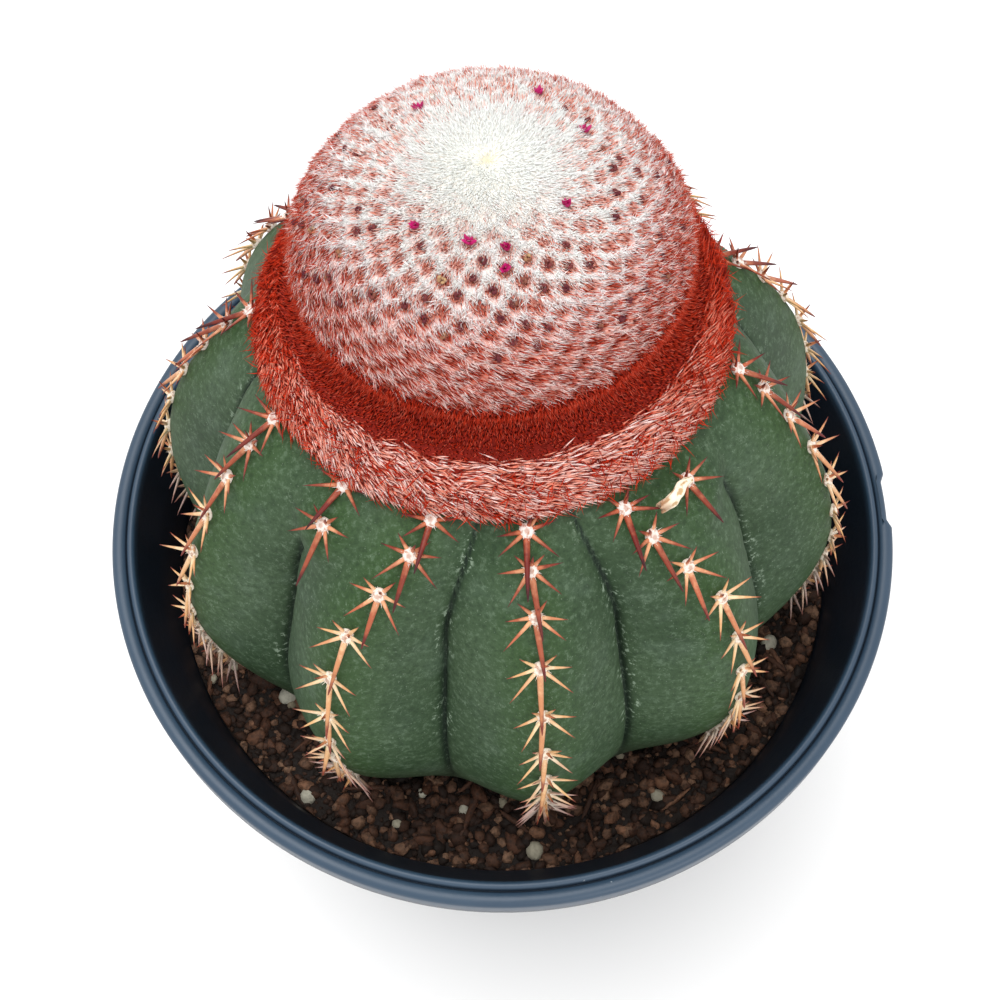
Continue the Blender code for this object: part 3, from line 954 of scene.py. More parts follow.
# %% Point clouds and the spike tree
def cloud_of(points):
    """A mesh of loose points from rows of (place, aim, across, size, tint), in the plant's space."""
    places, aims, acrosses, sizes, tints = (np.array([row[k] for row in points], float) for k in range(5))
    mesh = bpy.data.meshes.new("points")
    mesh.from_pydata(planted(places).tolist(), [], [])
    store_attribute(mesh, "aim", planted_directions(aims))
    store_attribute(mesh, "across", planted_directions(acrosses))
    store_attribute(mesh, "size", sizes)
    store_attribute(mesh, "tint", tints)
    return mesh


def named(graph, name, kind="FLOAT"):
    return graph.node("GeometryNodeInputNamedAttribute", {"data_type": kind}, {"Name": name})


def bake_map(graph, geometry):
    """A UV map that lays every copy out by its tint and its length, which is all its colour needs."""
    across = (named(graph, "tint") * 0.94 + named(graph, "side") * 0.03 + 0.01).clamp()
    along = named(graph, "along") * 0.96 + 0.02
    return store(graph, geometry, "OFBake", combined(graph, across, along, 0.0), "FLOAT2", "CORNER")


def spine_shape(graph, inputs):
    """A tapering, bent spine, one unit long and one unit wide at its foot."""
    line = graph.node("GeometryNodeCurvePrimitiveLine", {}, {0: (0, 0, 0), 1: (0, 0, 1)})
    fine = graph.node("GeometryNodeResampleCurve", {}, {"Curve": line, "Count": inputs["Steps"]})
    part = graph.node("GeometryNodeSplineParameter")
    bent = graph.node("GeometryNodeSetPosition", {}, {
        "Geometry": fine, "Offset": combined(graph, 0.0, inputs["Bend"] * part * part, 0.0)})
    kept = store(graph, bent, "along", inputs["Starts Along"] + part * (1 - inputs["Starts Along"]))
    ring = graph.node("GeometryNodeCurvePrimitiveCircle", {"mode": "RADIUS"},
                      {"Resolution": inputs["Sides"], "Radius": 0.5})
    edge = store(graph, ring, "side", graph.node("GeometryNodeSplineParameter"))
    taper = (1.02 - part) ** inputs["Taper"]
    return graph.node("GeometryNodeCurveToMesh", {}, {"Curve": kept, "Profile Curve": edge, "Scale": taper,
                                                      "Fill Caps": True})


def spike_tree(name, shape):
    graph, inputs = new_tree(name, {
        "Steps": (WHOLE, 7), "Sides": (WHOLE, 6), "Bend": (FLOAT, 0.1), "Taper": (FLOAT, 0.8),
        "Starts Along": (FLOAT, 0.0),
        "Material": ("NodeSocketMaterial", None),
    })
    turn = graph.node("FunctionNodeAxesToRotation", {"primary_axis": "Z", "secondary_axis": "X"}, {
        0: named(graph, "aim", "FLOAT_VECTOR"), 1: named(graph, "across", "FLOAT_VECTOR")})
    placed = graph.node("GeometryNodeInstanceOnPoints", {}, {
        "Points": inputs["Geometry"], "Instance": shape(graph, inputs), "Rotation": turn,
        "Scale": named(graph, "size", "FLOAT_VECTOR")})
    real = graph.node("GeometryNodeRealizeInstances", {}, {"Geometry": placed})
    smooth = graph.node("GeometryNodeSetShadeSmooth", {}, {"Geometry": bake_map(graph, real)})
    return finish_tree(graph, smooth, inputs["Material"])


spikes = spike_tree("spikes on points", spine_shape)

# %% [markdown]
# ## The spines of one areole
#
# Six flattened radials fan out and curve back a little, and a short dark one stands in the middle. The
# lowest is far longer and stouter: it runs down the crest to the next areole and narrows only at its tip.
# Young spines by the cap are deep red, then they fade through orange to straw, and at the foot to grey.
# Their tips stay dark.

# %% Spine points
# the angle from straight down, in degrees, and the length in millimetres
RADIALS = [(-50, 6.6), (-97, 5.2), (-142, 3.7), (147, 3.7), (101, 5.2), (55, 6.6)]
LONGEST = 10.4
CENTRAL = 3.6
AGES = (0.0, 0.14, 0.27, 0.40, 0.75, 1.0)
TONES = (1.0, 0.86, 0.62, 0.40, 0.28, 0.0)


def fan(areole):
    place, out, up, _, age = areole
    side = up.cross(out)
    vigour = 1.0 - 0.25 * abs(age - 0.45) + 0.12 * max(0.0, age - 0.75) / 0.25
    tone = float(np.interp(age, AGES, TONES))

    def spine(angle, sway, lift, width, length, shade):
        turn = math.radians(angle + rng.uniform(-sway, sway))
        level = side * math.sin(turn) - up * math.cos(turn)
        lift = math.radians(rng.uniform(*lift))
        aim = level * math.cos(lift) + out * math.sin(lift)
        long = length * 0.001 * vigour * rng.uniform(0.86, 1.12)
        return (place + out * 0.0003 + level * 0.0005, aim, level.cross(out),
                (width * 0.001, width * 0.00075, long), min(1.0, shade))

    radials = [spine(angle, 11, (15, 32), 0.86, length, tone * 0.95 + rng.uniform(-0.12, 0.12))
               for angle, length in RADIALS]
    centre = spine(180, 40, (50, 65), 0.85, CENTRAL, 0.40 + tone * 0.6)
    longest = spine(0, 9, (7, 14), 1.15, LONGEST, 0.16 + tone * 0.82 + rng.uniform(-0.08, 0.08))
    return radials + [centre], longest


def spine_colours(graph):
    tone = graph.attribute("tint")
    along = graph.attribute("along")
    foot = graph.stops(tone, [(0.0, (0.56, 0.47, 0.40)), (0.35, (0.80, 0.62, 0.38)),
                              (0.65, (0.72, 0.38, 0.20)), (1.0, (0.44, 0.110, 0.050))])
    shank = graph.stops(tone, [(0.0, (0.46, 0.31, 0.27)), (0.35, (0.66, 0.38, 0.17)),
                               (0.65, (0.42, 0.110, 0.050)), (1.0, (0.130, 0.010, 0.006))])
    tip = graph.stops(tone, [(0.0, (0.26, 0.12, 0.10)), (0.35, (0.24, 0.045, 0.022)),
                             (0.65, (0.12, 0.014, 0.012)), (1.0, (0.040, 0.005, 0.008))])
    streak = graph.noise(700.0, 2.0, 0.6, object_place(graph))
    colour = graph.blend(foot, shank, (along + (streak - 0.5) * 0.6).ramp_between(0.10, 0.52))
    colour = graph.blend(colour, tip, (along + (streak - 0.5) * 0.4).ramp_between(0.58, 0.88))
    return {"Base Color": colour, "Roughness": 0.36 + along * 0.14}


horn = new_material("spine horn", spine_colours, Specular_IOR_Level=0.28)
fans = [fan(areole) for areole in areoles]
short_mesh = run_tree(spikes, cloud_of([row for short, longest in fans for row in short]), Steps=6, Sides=6,
                      Bend=0.35, Taper=0.8, Material=horn)
long_mesh = run_tree(spikes, cloud_of([longest for short, longest in fans]), Steps=9, Sides=7, Bend=0.25,
                     Taper=0.42, Starts_Along=0.22, Material=horn)
clusters = [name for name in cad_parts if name.startswith("spine_cluster")]
add_piece("radial_spines", short_mesh, horn, "spines", *clusters)
add_piece("down_spines", long_mesh, horn, "spines")

# %% [markdown]
# ## The cap's core
#
# Under its wool the cephalium is a woody dome on a short neck, with a rolled brim where older bristles
# have been pushed down and out. The core is one turned solid a little smaller than the finished cap, so
# the bristles have depth to stand in. Each flower leaves a pit, in the spirals of a sunflower head.

# %% Cap outline and pits
DOME_RADIUS = 0.0325
DOME_BASE = 0.0988
DOME_RISE = 0.0200
WOOL = 0.0014
NECK = [(0.0321, 0.0970), (0.0313, 0.0956), (0.0312, 0.0937), (0.0316, 0.0920), (0.0329, 0.0896)]
BRIM = [(0.0350, 0.0888), (0.0376, 0.0863), (0.0392, 0.0831), (0.0396, 0.0807), (0.0388, 0.0797)]
GOLDEN = math.pi * (3 - math.sqrt(5))
PIT_AREA = 1.02e-5


def cap_outline():
    """Radius, height and zone down the core: 0 to 1 on the dome, 2 at the neck's foot, 3 at the edge."""
    turns = np.linspace(math.pi / 2, 0, 100)[1:]
    dome = [((DOME_RADIUS - WOOL) * math.cos(a), DOME_BASE + (DOME_RISE - WOOL) * math.sin(a)) for a in turns]
    rest = [(radius - 0.0009, height) for radius, height in NECK + BRIM]
    points = np.array([(0.0002, DOME_BASE + DOME_RISE - WOOL)] + dome + rest)
    lengths = np.concatenate([[0], np.cumsum(np.hypot(*np.diff(points, axis=0).T))])
    marks = [0, lengths[100 - 1], lengths[100 - 1 + len(NECK)], lengths[-1]]
    steps = np.linspace(0, lengths[-1], 90)
    line = np.stack([np.interp(steps, lengths, points[:, k]) for k in (0, 1)], axis=1)
    return line, np.interp(steps, marks, [0, 1, 2, 3]), steps, marks[1]


def pit_places(line, steps, dome_length):
    """Flower pits on the dome, one to each equal share of its area, a golden angle apart."""
    shares = np.cumsum(2 * math.pi * line[:, 0] * np.gradient(steps))
    shares -= shares[0]
    inside = shares[np.searchsorted(steps, dome_length)]
    places, parts = [], []
    for count in range(4, int(inside / PIT_AREA)):
        length = np.interp(count * PIT_AREA, shares, steps) + rng.normal(0, 0.00022)
        radius, height = (np.interp(length, steps, line[:, k]) for k in (0, 1))
        bearing = GOLDEN * count + rng.normal(0, 0.00022) / radius
        places.append((radius * math.sin(bearing), -radius * math.cos(bearing), height))
        parts.append(length / dome_length)
    return np.array(places), np.array(parts)


cap_line, cap_zone, cap_steps, dome_length = cap_outline()
pits, pit_parts = pit_places(cap_line, cap_steps, dome_length)
pit_tree = kdtree.KDTree(len(pits))
for index, pit in enumerate(pits):
    pit_tree.insert(pit, index)
pit_tree.balance()
print(len(pits), "flower pits on the dome")

# %% Core mesh
def core_mesh(sides=210):
    bearing = around(sides)
    rings = np.stack([ring_points(radius, bearing, height) for radius, height in cap_line])
    ahead = np.gradient(cap_line, axis=0)
    ahead /= np.linalg.norm(ahead, axis=1)[:, None]
    level = ring_points(1.0, bearing, 0.0)
    comb = level[None] * ahead[:, 0, None, None] + np.array((0, 0, 1.0)) * ahead[:, 1, None, None]
    out = np.array((0, 0, 1.0)) * ahead[:, 0, None, None] - level[None] * ahead[:, 1, None, None]
    zone = np.repeat(cap_zone[:, None], sides, axis=1)
    apart = np.array([pit_tree.find(p)[2] for p in rings.reshape(-1, 3)]).reshape(zone.shape)
    shown = np.clip((zone - 0.15) / 0.35, 0, 1) * (zone < 1.02)
    pit = np.clip(1 - apart / 0.0016, 0, 1) ** 0.7 * shown
    rings = rings - out * (pit * 0.0009)[..., None]
    rings += out * lump(rings, 90, 0.0003, 5.0)[..., None]
    swirl = np.clip(1 - cap_steps / 0.0018, 0, 1)[:, None, None]
    rings -= np.array((0, 0, 0.0010)) * swirl
    base_radius, base_height = 0.034, 0.0803
    under = ring_points(base_radius, bearing, base_height)
    below = ring_points(0.015, bearing, 0.0860)
    rings = np.concatenate([rings, under[None], below[None]])
    pad = np.zeros((2, sides))
    flank = np.clip(1 - np.cos(bearing) * 1.3, 0, 1)[None] * np.ones((len(zone) + 2, 1))
    mesh = loft("cap_core", planted(rings.reshape(-1, 3)).reshape(rings.shape), {
        "zone": np.concatenate([zone, pad + 4]), "pit": np.concatenate([pit, pad]), "flank": flank,
        "comb": np.concatenate([planted_directions(comb.reshape(-1, 3)).reshape(comb.shape),
                                np.zeros((2, sides, 3))])})
    return mesh


# %% [markdown]
# ## Coats of bristles
#
# One tree grows every coat on the cap: wool and bristles on the dome, velvet on the neck, the matted brim
# and its loose hairs. It scatters roots over a zone of the core and combs a fine spike from each, down the
# cap, aside, and away from the nearest pit. Low on the dome the hairs lie along its rings instead. White
# wool keeps out of the pits and red bristles keep to them, each by its own share of hairs there.

# %% Coat tree
def coat_tree():
    graph, inputs = new_tree("coat of bristles", {
        "Pits": ("NodeSocketObject", None), "Density": (FLOAT, 1.0e7), "From": (FLOAT, 0.0),
        "To": (FLOAT, 1.0), "Soft": (FLOAT, 0.03), "Flanks Only": (FLOAT, 0.0), "Web Share": (FLOAT, 1.0),
        "Pit Share": (FLOAT, 1.0), "Low Share": (FLOAT, 1.0), "Length": (FLOAT, 0.0016),
        "Thickness": (FLOAT, 0.00018), "Segments": (WHOLE, 1), "Bulge": (FLOAT, 1.0), "Bend": (FLOAT, 0.0),
        "Lift": (FLOAT, 0.6), "Comb": (FLOAT, 1.0), "Sway": (FLOAT, 0.0), "Low Sway": (FLOAT, 0.0),
        "Locks": (FLOAT, 0.6), "Waves": (FLOAT, 0.0), "Ruffle": (FLOAT, 0.3), "Parting": (FLOAT, 0.5),
        "Halo": (FLOAT, 0.0), "Tint": (FLOAT, 0.1), "Tint Spread": (FLOAT, 0.1),
        "Low Tint": (FLOAT, 0.0), "Flank Tint": (FLOAT, 0.0), "Flat Low": (FLOAT, 0.0), "Seed": (WHOLE, 0),
        "Material": ("NodeSocketMaterial", None),
    })
    seed = inputs["Seed"]
    zone = named(graph, "zone")
    cover = ((zone - inputs["From"]) / inputs["Soft"] + 0.5).clamp() \
        * ((inputs["To"] - zone) / inputs["Soft"] + 0.5).clamp() \
        * (1 + (named(graph, "flank") - 1) * inputs["Flanks Only"]) * zone.ramp_between(0.003, 0.02)
    roots = graph.node("GeometryNodeDistributePointsOnFaces", {"distribute_method": "RANDOM"},
                       {"Mesh": inputs["Geometry"], "Density": cover * inputs["Density"], "Seed": seed})
    normal = Wire(graph, roots.socket.node.outputs[1])
    roots = store(graph, roots, "out", normal, "FLOAT_VECTOR")
    out = named(graph, "out", "FLOAT_VECTOR")
    comb = named(graph, "comb", "FLOAT_VECTOR")
    place = graph.node("GeometryNodeInputPosition")

    spots = graph.node("GeometryNodeObjectInfo", {}, {"Object": inputs["Pits"]}, out=4)
    near = graph.node("GeometryNodeProximity", {"target_element": "POINTS"}, {0: spots})
    apart = graph.added(place, graph.scaled(near, -1.0))
    away = graph.scaled(apart, 600.0)
    dome_part = zone.clamp(0.0, 1.0)
    lowness = dome_part.ramp_between(0.48, 0.86)
    aside = graph.vector_math("CROSS_PRODUCT", out, comb)
    down, across = (graph.vector_math("DOT_PRODUCT", apart, way, out=1) for way in (comb, aside))
    down, across = down * (1 + lowness * 0.9), across * (1 - lowness * 0.35)
    distance = (down * down + across * across) ** 0.5 * (0.45 + graph.noise(420.0, 2.0, 0.5, place) * 1.2)
    strength = dome_part.ramp_between(0.13, 0.50) * (1.02 - zone).math("GREATER_THAN", 0.0)
    in_pit = 1 - ((distance - 0.00065 - inputs["Halo"]) / (inputs["Halo"] * 2 + 0.00085)).clamp()
    pit = in_pit * strength
    share = inputs["Web Share"] + (inputs["Low Share"] - inputs["Web Share"]) * lowness
    share = share + (inputs["Pit Share"] - share) * pit
    culled = random_value(graph, 0.0, 1.0, seed + 7).math("GREATER_THAN", share)
    roots = graph.node("GeometryNodeDeleteGeometry", {"domain": "POINT"},
                       {"Geometry": roots, "Selection": culled})

    lock = graph.noise(230.0, 2.0, 0.5, place) - 0.5
    wave = graph.noise(310.0, 2.0, 0.5, graph.added(place, (0.7, 0.3, 0.1))) - 0.5
    low = lowness * inputs["Flat Low"]
    ruffle = inputs["Ruffle"] + (1 - dome_part.ramp_between(0.10, 0.40)) * 0.35
    lift = inputs["Lift"] * (1 - low * 0.5) * (0.55 + dome_part.ramp_between(0.05, 0.35) * 0.45)
    side_way = inputs["Sway"] + inputs["Low Sway"] * lowness + lock * inputs["Locks"] \
        + random_value(graph, -1.0, 1.0, seed + 1) * ruffle
    downward = (1 - lift * 0.6) * inputs["Comb"] * (1 - low * 0.75) + wave * inputs["Waves"]
    aim = graph.added(graph.scaled(out, lift), graph.scaled(comb, downward))
    aim = graph.added(aim, graph.scaled(aside, side_way))
    aim = graph.added(aim, graph.scaled(away, (1 - pit) * strength * inputs["Parting"] * (1 - low * 0.55)))
    aim = graph.added(aim, graph.scaled(out, random_value(graph, -0.5, 0.5, seed + 2) * ruffle))

    tint = (inputs["Tint"] + random_value(graph, -1.0, 1.0, seed + 3) * inputs["Tint Spread"]
            + lowness * inputs["Low Tint"] + named(graph, "flank") * inputs["Flank Tint"]) \
        * dome_part.ramp_between(0.10, 0.43)
    long = inputs["Length"] * random_value(graph, 0.65, 1.15, seed + 4) * (1 - pit * 0.35 + low * 0.15)
    hair = graph.node("GeometryNodeMeshCone", {"fill_type": "NGON"}, {
        "Vertices": 3, "Side Segments": inputs["Segments"], "Radius Top": 0.0, "Radius Bottom": 0.5,
        "Depth": 1.0})
    spot = graph.node("GeometryNodeInputPosition")
    height = graph.split(spot)[2]
    hair = store(graph, hair, "along", height)
    wider = graph.vector_math("MULTIPLY", spot, (1, 1, 0))
    wider = graph.scaled(wider, height * (1 - height) * 4.0 * inputs["Bulge"])
    bow = height * height * inputs["Bend"] * inputs["Length"] / inputs["Thickness"]
    bent = combined(graph, 0.0, bow, 0.0)
    hair = graph.node("GeometryNodeSetPosition", {}, {"Geometry": hair, "Offset": graph.added(wider, bent)})
    level = graph.vector_math("CROSS_PRODUCT", aim, out)
    turn = graph.node("FunctionNodeAxesToRotation", {"primary_axis": "Z", "secondary_axis": "X"},
                      {0: aim, 1: level})
    roots = store(graph, roots, "tint", tint.clamp())
    placed = graph.node("GeometryNodeInstanceOnPoints", {}, {
        "Points": roots, "Instance": hair, "Rotation": turn,
        "Scale": combined(graph, inputs["Thickness"], inputs["Thickness"], long)})
    real = graph.node("GeometryNodeRealizeInstances", {}, {"Geometry": placed})
    smooth = graph.node("GeometryNodeSetShadeSmooth", {}, {"Geometry": bake_map(graph, real)})
    return finish_tree(graph, smooth, inputs["Material"])


# %% [markdown]
# ## Wool and bristle colours
#
# The wool is cream at the growing point and white below it. The bristles run from pale pink through
# salmon and brick red to the near black of dried flowers. One ramp holds that whole range, and each
# strand's tint picks its place on it. Roots are darker, because light hardly reaches them.

# %% Cap materials
CAP_RAMP = [
    (0.0, (0.95, 0.97, 0.94)), (0.08, (0.94, 0.92, 0.93)), (0.25, (0.93, 0.66, 0.60)),
    (0.5, (0.84, 0.31, 0.21)), (0.75, (0.61, 0.038, 0.010)), (1.0, (0.20, 0.012, 0.008)),
]
ROOT_RAMP = [
    (0.0, (0.92, 0.91, 0.87)), (0.08, (0.86, 0.78, 0.78)), (0.25, (0.66, 0.24, 0.19)),
    (0.5, (0.30, 0.022, 0.010)), (0.75, (0.18, 0.007, 0.003)), (1.0, (0.05, 0.004, 0.002)),
]


def strand_colours(graph):
    tint = graph.attribute("tint")
    along = graph.attribute("along")
    root, shaft = graph.stops(tint, ROOT_RAMP), graph.stops(tint, CAP_RAMP)
    colour = graph.blend(root, shaft, along.ramp_between(0.0, 0.55))
    return {"Base Color": colour, "Roughness": 0.75 - tint * 0.2}


def core_colours(graph):
    zone = graph.attribute("zone")
    pit = graph.attribute("pit")
    place = object_place(graph)
    grain = graph.noise(700.0, 3.0, 0.6, place)
    # below the dome the core turns near black red: partly the neck's own deep red, partly painted shade
    # between the hairs
    base = graph.stops(zone * 0.25, [(0.0, (0.60, 0.55, 0.40)), (0.02, (0.80, 0.78, 0.70)),
                                     (0.12, (0.80, 0.66, 0.62)), (0.20, (0.60, 0.27, 0.21)),
                                     (0.25, (0.42, 0.11, 0.07)), (0.27, (0.16, 0.008, 0.004)),
                                     (0.55, (0.22, 0.014, 0.007)), (1.0, (0.20, 0.020, 0.011))])
    pitted = graph.blend(base, (0.46, 0.140, 0.100, 1), pit.ramp_between(0.15, 0.6) * 0.9)
    colour = graph.blend(pitted, (0.12, 0.020, 0.014, 1), (1 - grain.ramp_between(0.3, 0.6)) * pit * 0.6)
    return {"Base Color": colour, "Roughness": 0.8 + grain * 0.15,
            "Normal": graph.bump(grain, 0.6, 0.0003)}


strand = new_material("wool and bristles", strand_colours, Specular_IOR_Level=0.05)
core_skin = new_material("cap core", core_colours, Specular_IOR_Level=0.2)
core = core_mesh()
pit_cloud = bpy.data.meshes.new("pits")
pit_cloud.from_pydata(planted(pits).tolist(), [], [])
pit_things = bpy.data.objects.new("pits", pit_cloud)
bpy.context.scene.collection.objects.link(pit_things)
coats = coat_tree()


def coat(name, **inputs):
    mesh = run_tree(coats, core, Pits=pit_things, Material=strand, **inputs)
    return add_piece(name, mesh, strand, "cap wool and bristles")


coat("dome_wool", Density=1.5e7, From=0.0, To=1.0, Length=0.0016, Thickness=0.00017, Lift=0.60,
     Low_Sway=0.75, Locks=1.0, Waves=0.8, Ruffle=0.38, Parting=0.75, Tint=0.02, Tint_Spread=0.09,
     Pit_Share=0.06, Low_Share=0.54, Low_Tint=0.20, Flat_Low=1.0, Seed=3)
coat("dome_bristles", Density=9.5e6, From=0.16, To=1.03, Soft=0.1, Length=0.0019, Thickness=0.00019,
     Lift=0.66, Low_Sway=1.0, Locks=0.6, Waves=0.7, Ruffle=0.18, Parting=0.1, Halo=0.00012, Tint=0.46,
     Tint_Spread=0.20, Web_Share=0.03, Pit_Share=0.90, Low_Share=0.33, Low_Tint=0.30, Flat_Low=1.0, Seed=5)
coat("dome_fringe", Density=5.6e6, From=0.74, To=1.05, Soft=0.25, Flanks_Only=1.0, Length=0.0019,
     Thickness=0.00019, Lift=0.70, Sway=0.4, Waves=1.0, Ruffle=0.35, Tint=0.70, Tint_Spread=0.12, Seed=29)
coat("neck_velvet", Density=7.6e6, From=0.99, To=2.24, Length=0.0013, Thickness=0.00020, Lift=0.95, Comb=0.6,
     Waves=1.2, Ruffle=0.45, Tint=0.80, Tint_Spread=0.14, Seed=8)
for name, way, seed in (("brim_mat_left", -1, 13), ("brim_mat_right", 1, 17)):
    coat(name, Density=2.1e6, From=2.18, To=3.02, Length=0.0030, Thickness=0.00030, Segments=2,
         Bend=-0.22 * way, Lift=0.17, Comb=0.10, Sway=0.95 * way, Locks=0.8 * way, Waves=-2.6 * way,
         Ruffle=0.20, Tint=0.38, Tint_Spread=0.20, Flank_Tint=0.46, Seed=seed)
coat("brim_threads", Density=2.4e6, From=2.22, To=3.06, Length=0.0036, Thickness=0.00017, Segments=2,
     Bend=0.35, Lift=0.26, Comb=0.25, Locks=7.0, Waves=2.2, Ruffle=0.45, Tint=0.84, Tint_Spread=0.10, Seed=19)
bpy.data.objects.remove(pit_things)
add_piece("cap_core", core, core_skin, "cap wool and bristles", "cephalium")

# %% [markdown]
# ## Areole wool
#
# Each areole is a felt cushion, cream at its rim and dark where the spines come out, ringed by short wool.
# The cushions are flattened balls set on the same points, and the wool is the spine tree again with short,
# straight, three-sided strands.

# %% Cushions and wool
def cushion_shape(graph, inputs):
    ball = graph.node("GeometryNodeMeshIcoSphere", {}, {"Radius": 0.5, "Subdivisions": inputs["Steps"]})
    x, y, _ = graph.split(graph.node("GeometryNodeInputPosition"))
    return store(graph, ball, "along", 1 - (x * x + y * y) ** 0.5 * 2)


def felt_colours(graph):
    along = graph.attribute("along")
    tint = graph.attribute("tint")
    grain = graph.noise(1500.0, 2.0, 0.6, object_place(graph))
    rim = graph.stops(tint, [(0.0, (0.52, 0.45, 0.38)), (0.5, (0.86, 0.76, 0.62)),
                             (1.0, (0.82, 0.72, 0.67))])
    middle = graph.blend(rim, (0.34, 0.13, 0.07, 1), along.ramp_between(0.45, 0.80) * 0.6)
    holes = (1 - grain.ramp_between(0.34, 0.52)) * 0.7
    return {"Base Color": graph.blend(middle, (0.36, 0.15, 0.08, 1), holes),
            "Roughness": 0.85 + grain * 0.1}


def wool_colours(graph):
    tint = graph.attribute("tint")
    along = graph.attribute("along")
    colour = graph.stops(tint, [(0.0, (0.62, 0.56, 0.47)), (0.5, (0.90, 0.84, 0.72)),
                                (1.0, (0.92, 0.86, 0.82))])
    # painted shade: each strand darkens to brown at its root
    return {"Base Color": graph.blend((0.45, 0.26, 0.18, 1), colour, along.ramp_between(0.0, 0.5)),
            "Roughness": 0.8 - along * 0.1}


def wool_ring(areole, count=22):
    place, out, up, _, age = areole
    side = up.cross(out)
    rows = []
    for k in range(count):
        turn = (k + rng.uniform(-0.5, 0.5)) / count * 2 * math.pi
        level = side * math.cos(turn) + up * math.sin(turn)
        aim = level * rng.uniform(0.3, 1.0) + out * rng.uniform(0.3, 0.9) + side * rng.uniform(-0.3, 0.3)
        rows.append((place + level * rng.uniform(0.0004, 0.0011) + out * 0.0004, aim, level.cross(out),
                     (0.00028, 0.0002, rng.uniform(0.0007, 0.0013)), 1 - age * 0.85))
    return rows


felt = new_material("areole felt", felt_colours, Specular_IOR_Level=0.1)
wool = new_material("areole wool", wool_colours, Specular_IOR_Level=0.1)
cushions = spike_tree("cushions on points", cushion_shape)
cushion_points = [(place + out * 0.0003, out, up, (0.0027, 0.0025, 0.0018), 1 - age * 0.8)
                  for place, out, up, _, age in areoles]
cushion_mesh = run_tree(cushions, cloud_of(cushion_points), Steps=2, Material=felt)
add_piece("areole_cushions", cushion_mesh, felt, "spines")
wool_points = [row for areole in areoles for row in wool_ring(areole)]
wool_mesh = run_tree(spikes, cloud_of(wool_points), Steps=2, Sides=3, Bend=0.0, Taper=0.8, Material=wool)
add_piece("areole_wool", wool_mesh, wool, "spines")

# %% [markdown]
# ## A dry fruit husk
#
# One spent fruit has dried to a curled, papery tube and caught on the upper areole of the right young rib.
# It is a short loft with rippled rings, cream with tan streaks, and brown at its torn end.

# %% Husk
def husk_colours(graph):
    along = graph.attribute("along")
    tint = graph.attribute("tint")
    streak = graph.noise(900.0, 3.0, 0.6, object_place(graph))
    pale = graph.blend((0.50, 0.33, 0.17, 1), (0.86, 0.76, 0.58, 1),
                       (streak + tint - 0.5).ramp_between(0.30, 0.52))
    return {"Base Color": graph.blend(pale, (0.30, 0.14, 0.07, 1), along.ramp_between(0.70, 1.0) * 0.8),
            "Roughness": 0.55 + streak * 0.2, "Normal": graph.bump(streak, 0.6, 0.0004)}


husk_skin = new_material("dry husk", husk_colours, Specular_IOR_Level=0.3)


def curled_tube(areole, length=0.0078, sides=20, rings=30):
    """A papery tube from an areole, down to the left: pinched at its foot, torn open at its end."""
    place, out, up = areole[:3]
    side = up.cross(out)
    aim = (-side + up * 0.06 + out * 0.16).normalized()
    across = aim.cross(out).normalized()
    rise = across.cross(aim)
    turn = around(sides)[None, :]
    part = np.linspace(0, 1, rings)[:, None]
    ripple = 0.16 * np.sin(turn * 3 + part * 9) + 0.10 * np.sin(turn * 5 - part * 14)
    radius = 0.00088 * (0.55 + 0.55 * np.sin(part * 2.4)) * (1 + ripple)
    torn = 0.0005 * part ** 6 * (np.sin(turn * 3 + 1) + 0.6 * np.sin(turn * 7))
    along = part * length + torn
    lift = 0.0014 + 0.0007 * np.sin(part * math.pi) + radius * np.cos(turn) * 0.62
    wander = 0.00035 * np.sin(part * 5.5) + radius * np.sin(turn)
    spots = np.array(place) + along[..., None] * np.array(aim) + lift[..., None] * np.array(rise) \
        + wander[..., None] * np.array(across)
    return loft("dry_husk", planted(spots.reshape(-1, 3)).reshape(spots.shape), {
        "along": part * np.ones((1, sides)), "tint": 0.5 + ripple})


caught_on = [areole for areole in areoles if areole[4] == 0][-1]
husk_mesh = curled_tube(caught_on)
add_piece("dry_husk", husk_mesh, husk_skin, "spines")

# %% [markdown]
# ## Flowers and their remains
#
# The flowers are small and magenta, only just clearing the wool, and open for an afternoon. Each is eight
# petals set in a pit. Withered ones stay in their pits as dark, purplish crumbs for a season, so many
# pits in the middle zone hold one.

# %% Flowers
# the bearing in degrees, and how far down the dome
FLOWERS = [(-41, 0.40), (-11, 0.40), (15, 0.39), (6, 0.45), (115, 0.40), (56, 0.35), (-136, 0.43),
           (161, 0.43)]


def pit_frame(index):
    """A pit's place and outward direction, in the plant's space."""
    place = Vector(pits[index])
    return place, Vector((place.x, place.y, (place.z - DOME_BASE) * 2.6)).normalized()


def nearest_pit(bearing, part):
    wanted = np.interp(part, cap_zone, cap_line[:, 0]), np.interp(part, cap_zone, cap_line[:, 1])
    turn = math.radians(bearing)
    return pit_tree.find((wanted[0] * math.sin(turn), -wanted[0] * math.cos(turn), wanted[1]))[1]


def petals(index, count=8):
    """One open flower: petals that lean out of their pit."""
    place, out = pit_frame(index)
    side = out.orthogonal().normalized()
    rows = []
    for k in range(count):
        turn = 2 * math.pi * (k + rng.uniform(-0.3, 0.3)) / count
        level = side * math.cos(turn) + out.cross(side) * math.sin(turn)
        aim = out + level * rng.uniform(0.2, 1.0)
        rows.append((place + level * 0.0002, aim, level.cross(out),
                     (0.0009, 0.0005, 0.0012 * rng.uniform(0.6, 1.2)), rng.uniform(0.0, 0.7)))
    return rows


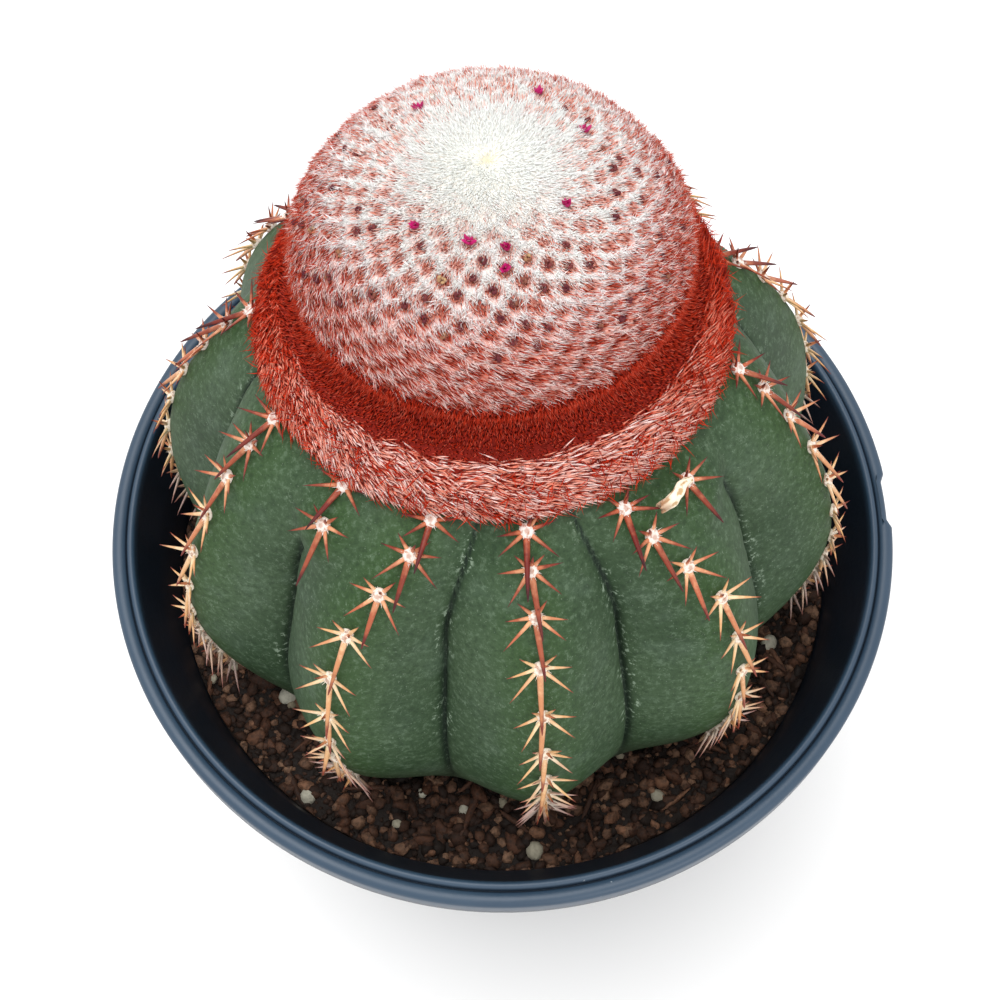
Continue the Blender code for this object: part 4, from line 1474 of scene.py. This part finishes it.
def withered(index, count=5):
    """What a spent flower leaves: a few crumbs, purple-brown or tan."""
    place, out = pit_frame(index)
    side = out.orthogonal().normalized()
    tone = rng.choice([0.05, 0.15, 0.30, 0.45, 0.80])
    rows = []
    for k in range(count):
        turn = 2 * math.pi * (k + rng.uniform(-0.5, 0.5)) / count
        level = side * math.cos(turn) + out.cross(side) * math.sin(turn)
        size = rng.uniform(0.0006, 0.0010)
        rows.append((place + level * rng.uniform(0.0001, 0.0005) + out * rng.uniform(-0.0003, 0.0004),
                     out + level * rng.uniform(0.0, 0.5), level.cross(out), (size, size * 0.7, size * 0.9),
                     tone + rng.uniform(-0.1, 0.25)))
    return rows


def petal_colours(graph):
    along = graph.attribute("along")
    tint = graph.attribute("tint")
    colour = graph.stops(tint, [(0.0, (0.30, 0.003, 0.07)), (1.0, (0.58, 0.012, 0.18))])
    return {"Base Color": graph.blend((0.20, 0.002, 0.04, 1), colour, along.ramp_between(0.1, 0.6)),
            "Roughness": 0.5 + along * 0.1}


def withered_colours(graph):
    tint = graph.attribute("tint")
    grain = graph.noise(1300.0, 2.0, 0.6, object_place(graph))
    colour = graph.stops(tint, [(0.0, (0.085, 0.014, 0.022)), (0.5, (0.16, 0.036, 0.034)),
                                (0.8, (0.25, 0.11, 0.060)), (1.0, (0.42, 0.27, 0.14))])
    return {"Base Color": colour, "Roughness": 0.75 + grain * 0.2}


petal = new_material("magenta petals", petal_colours, Specular_IOR_Level=0.3)
withered_skin = new_material("withered flowers", withered_colours, Specular_IOR_Level=0.2)
open_pits = {nearest_pit(bearing, part) for bearing, part in FLOWERS}
petal_points = [row for index in open_pits for row in petals(index)]
flower_mesh = run_tree(spikes, cloud_of(petal_points), Steps=5, Sides=5, Bend=-0.1, Taper=0.5, Material=petal)
add_piece("flowers", flower_mesh, petal, "cap wool and bristles")
dry_points = []
for index, part in enumerate(pit_parts):
    in_zone = 0.45 * (0.42 < part < 0.84) + 0.06 * (0.3 < part < 0.42)
    on_front = 0.35 + 0.65 * (pits[index][1] < 0.006)
    if index not in open_pits and rng.uniform() < in_zone * on_front:
        dry_points += withered(index)
dry_mesh = run_tree(cushions, cloud_of(dry_points), Steps=1, Material=withered_skin)
add_piece("withered_flowers", dry_mesh, withered_skin, "cap wool and bristles")
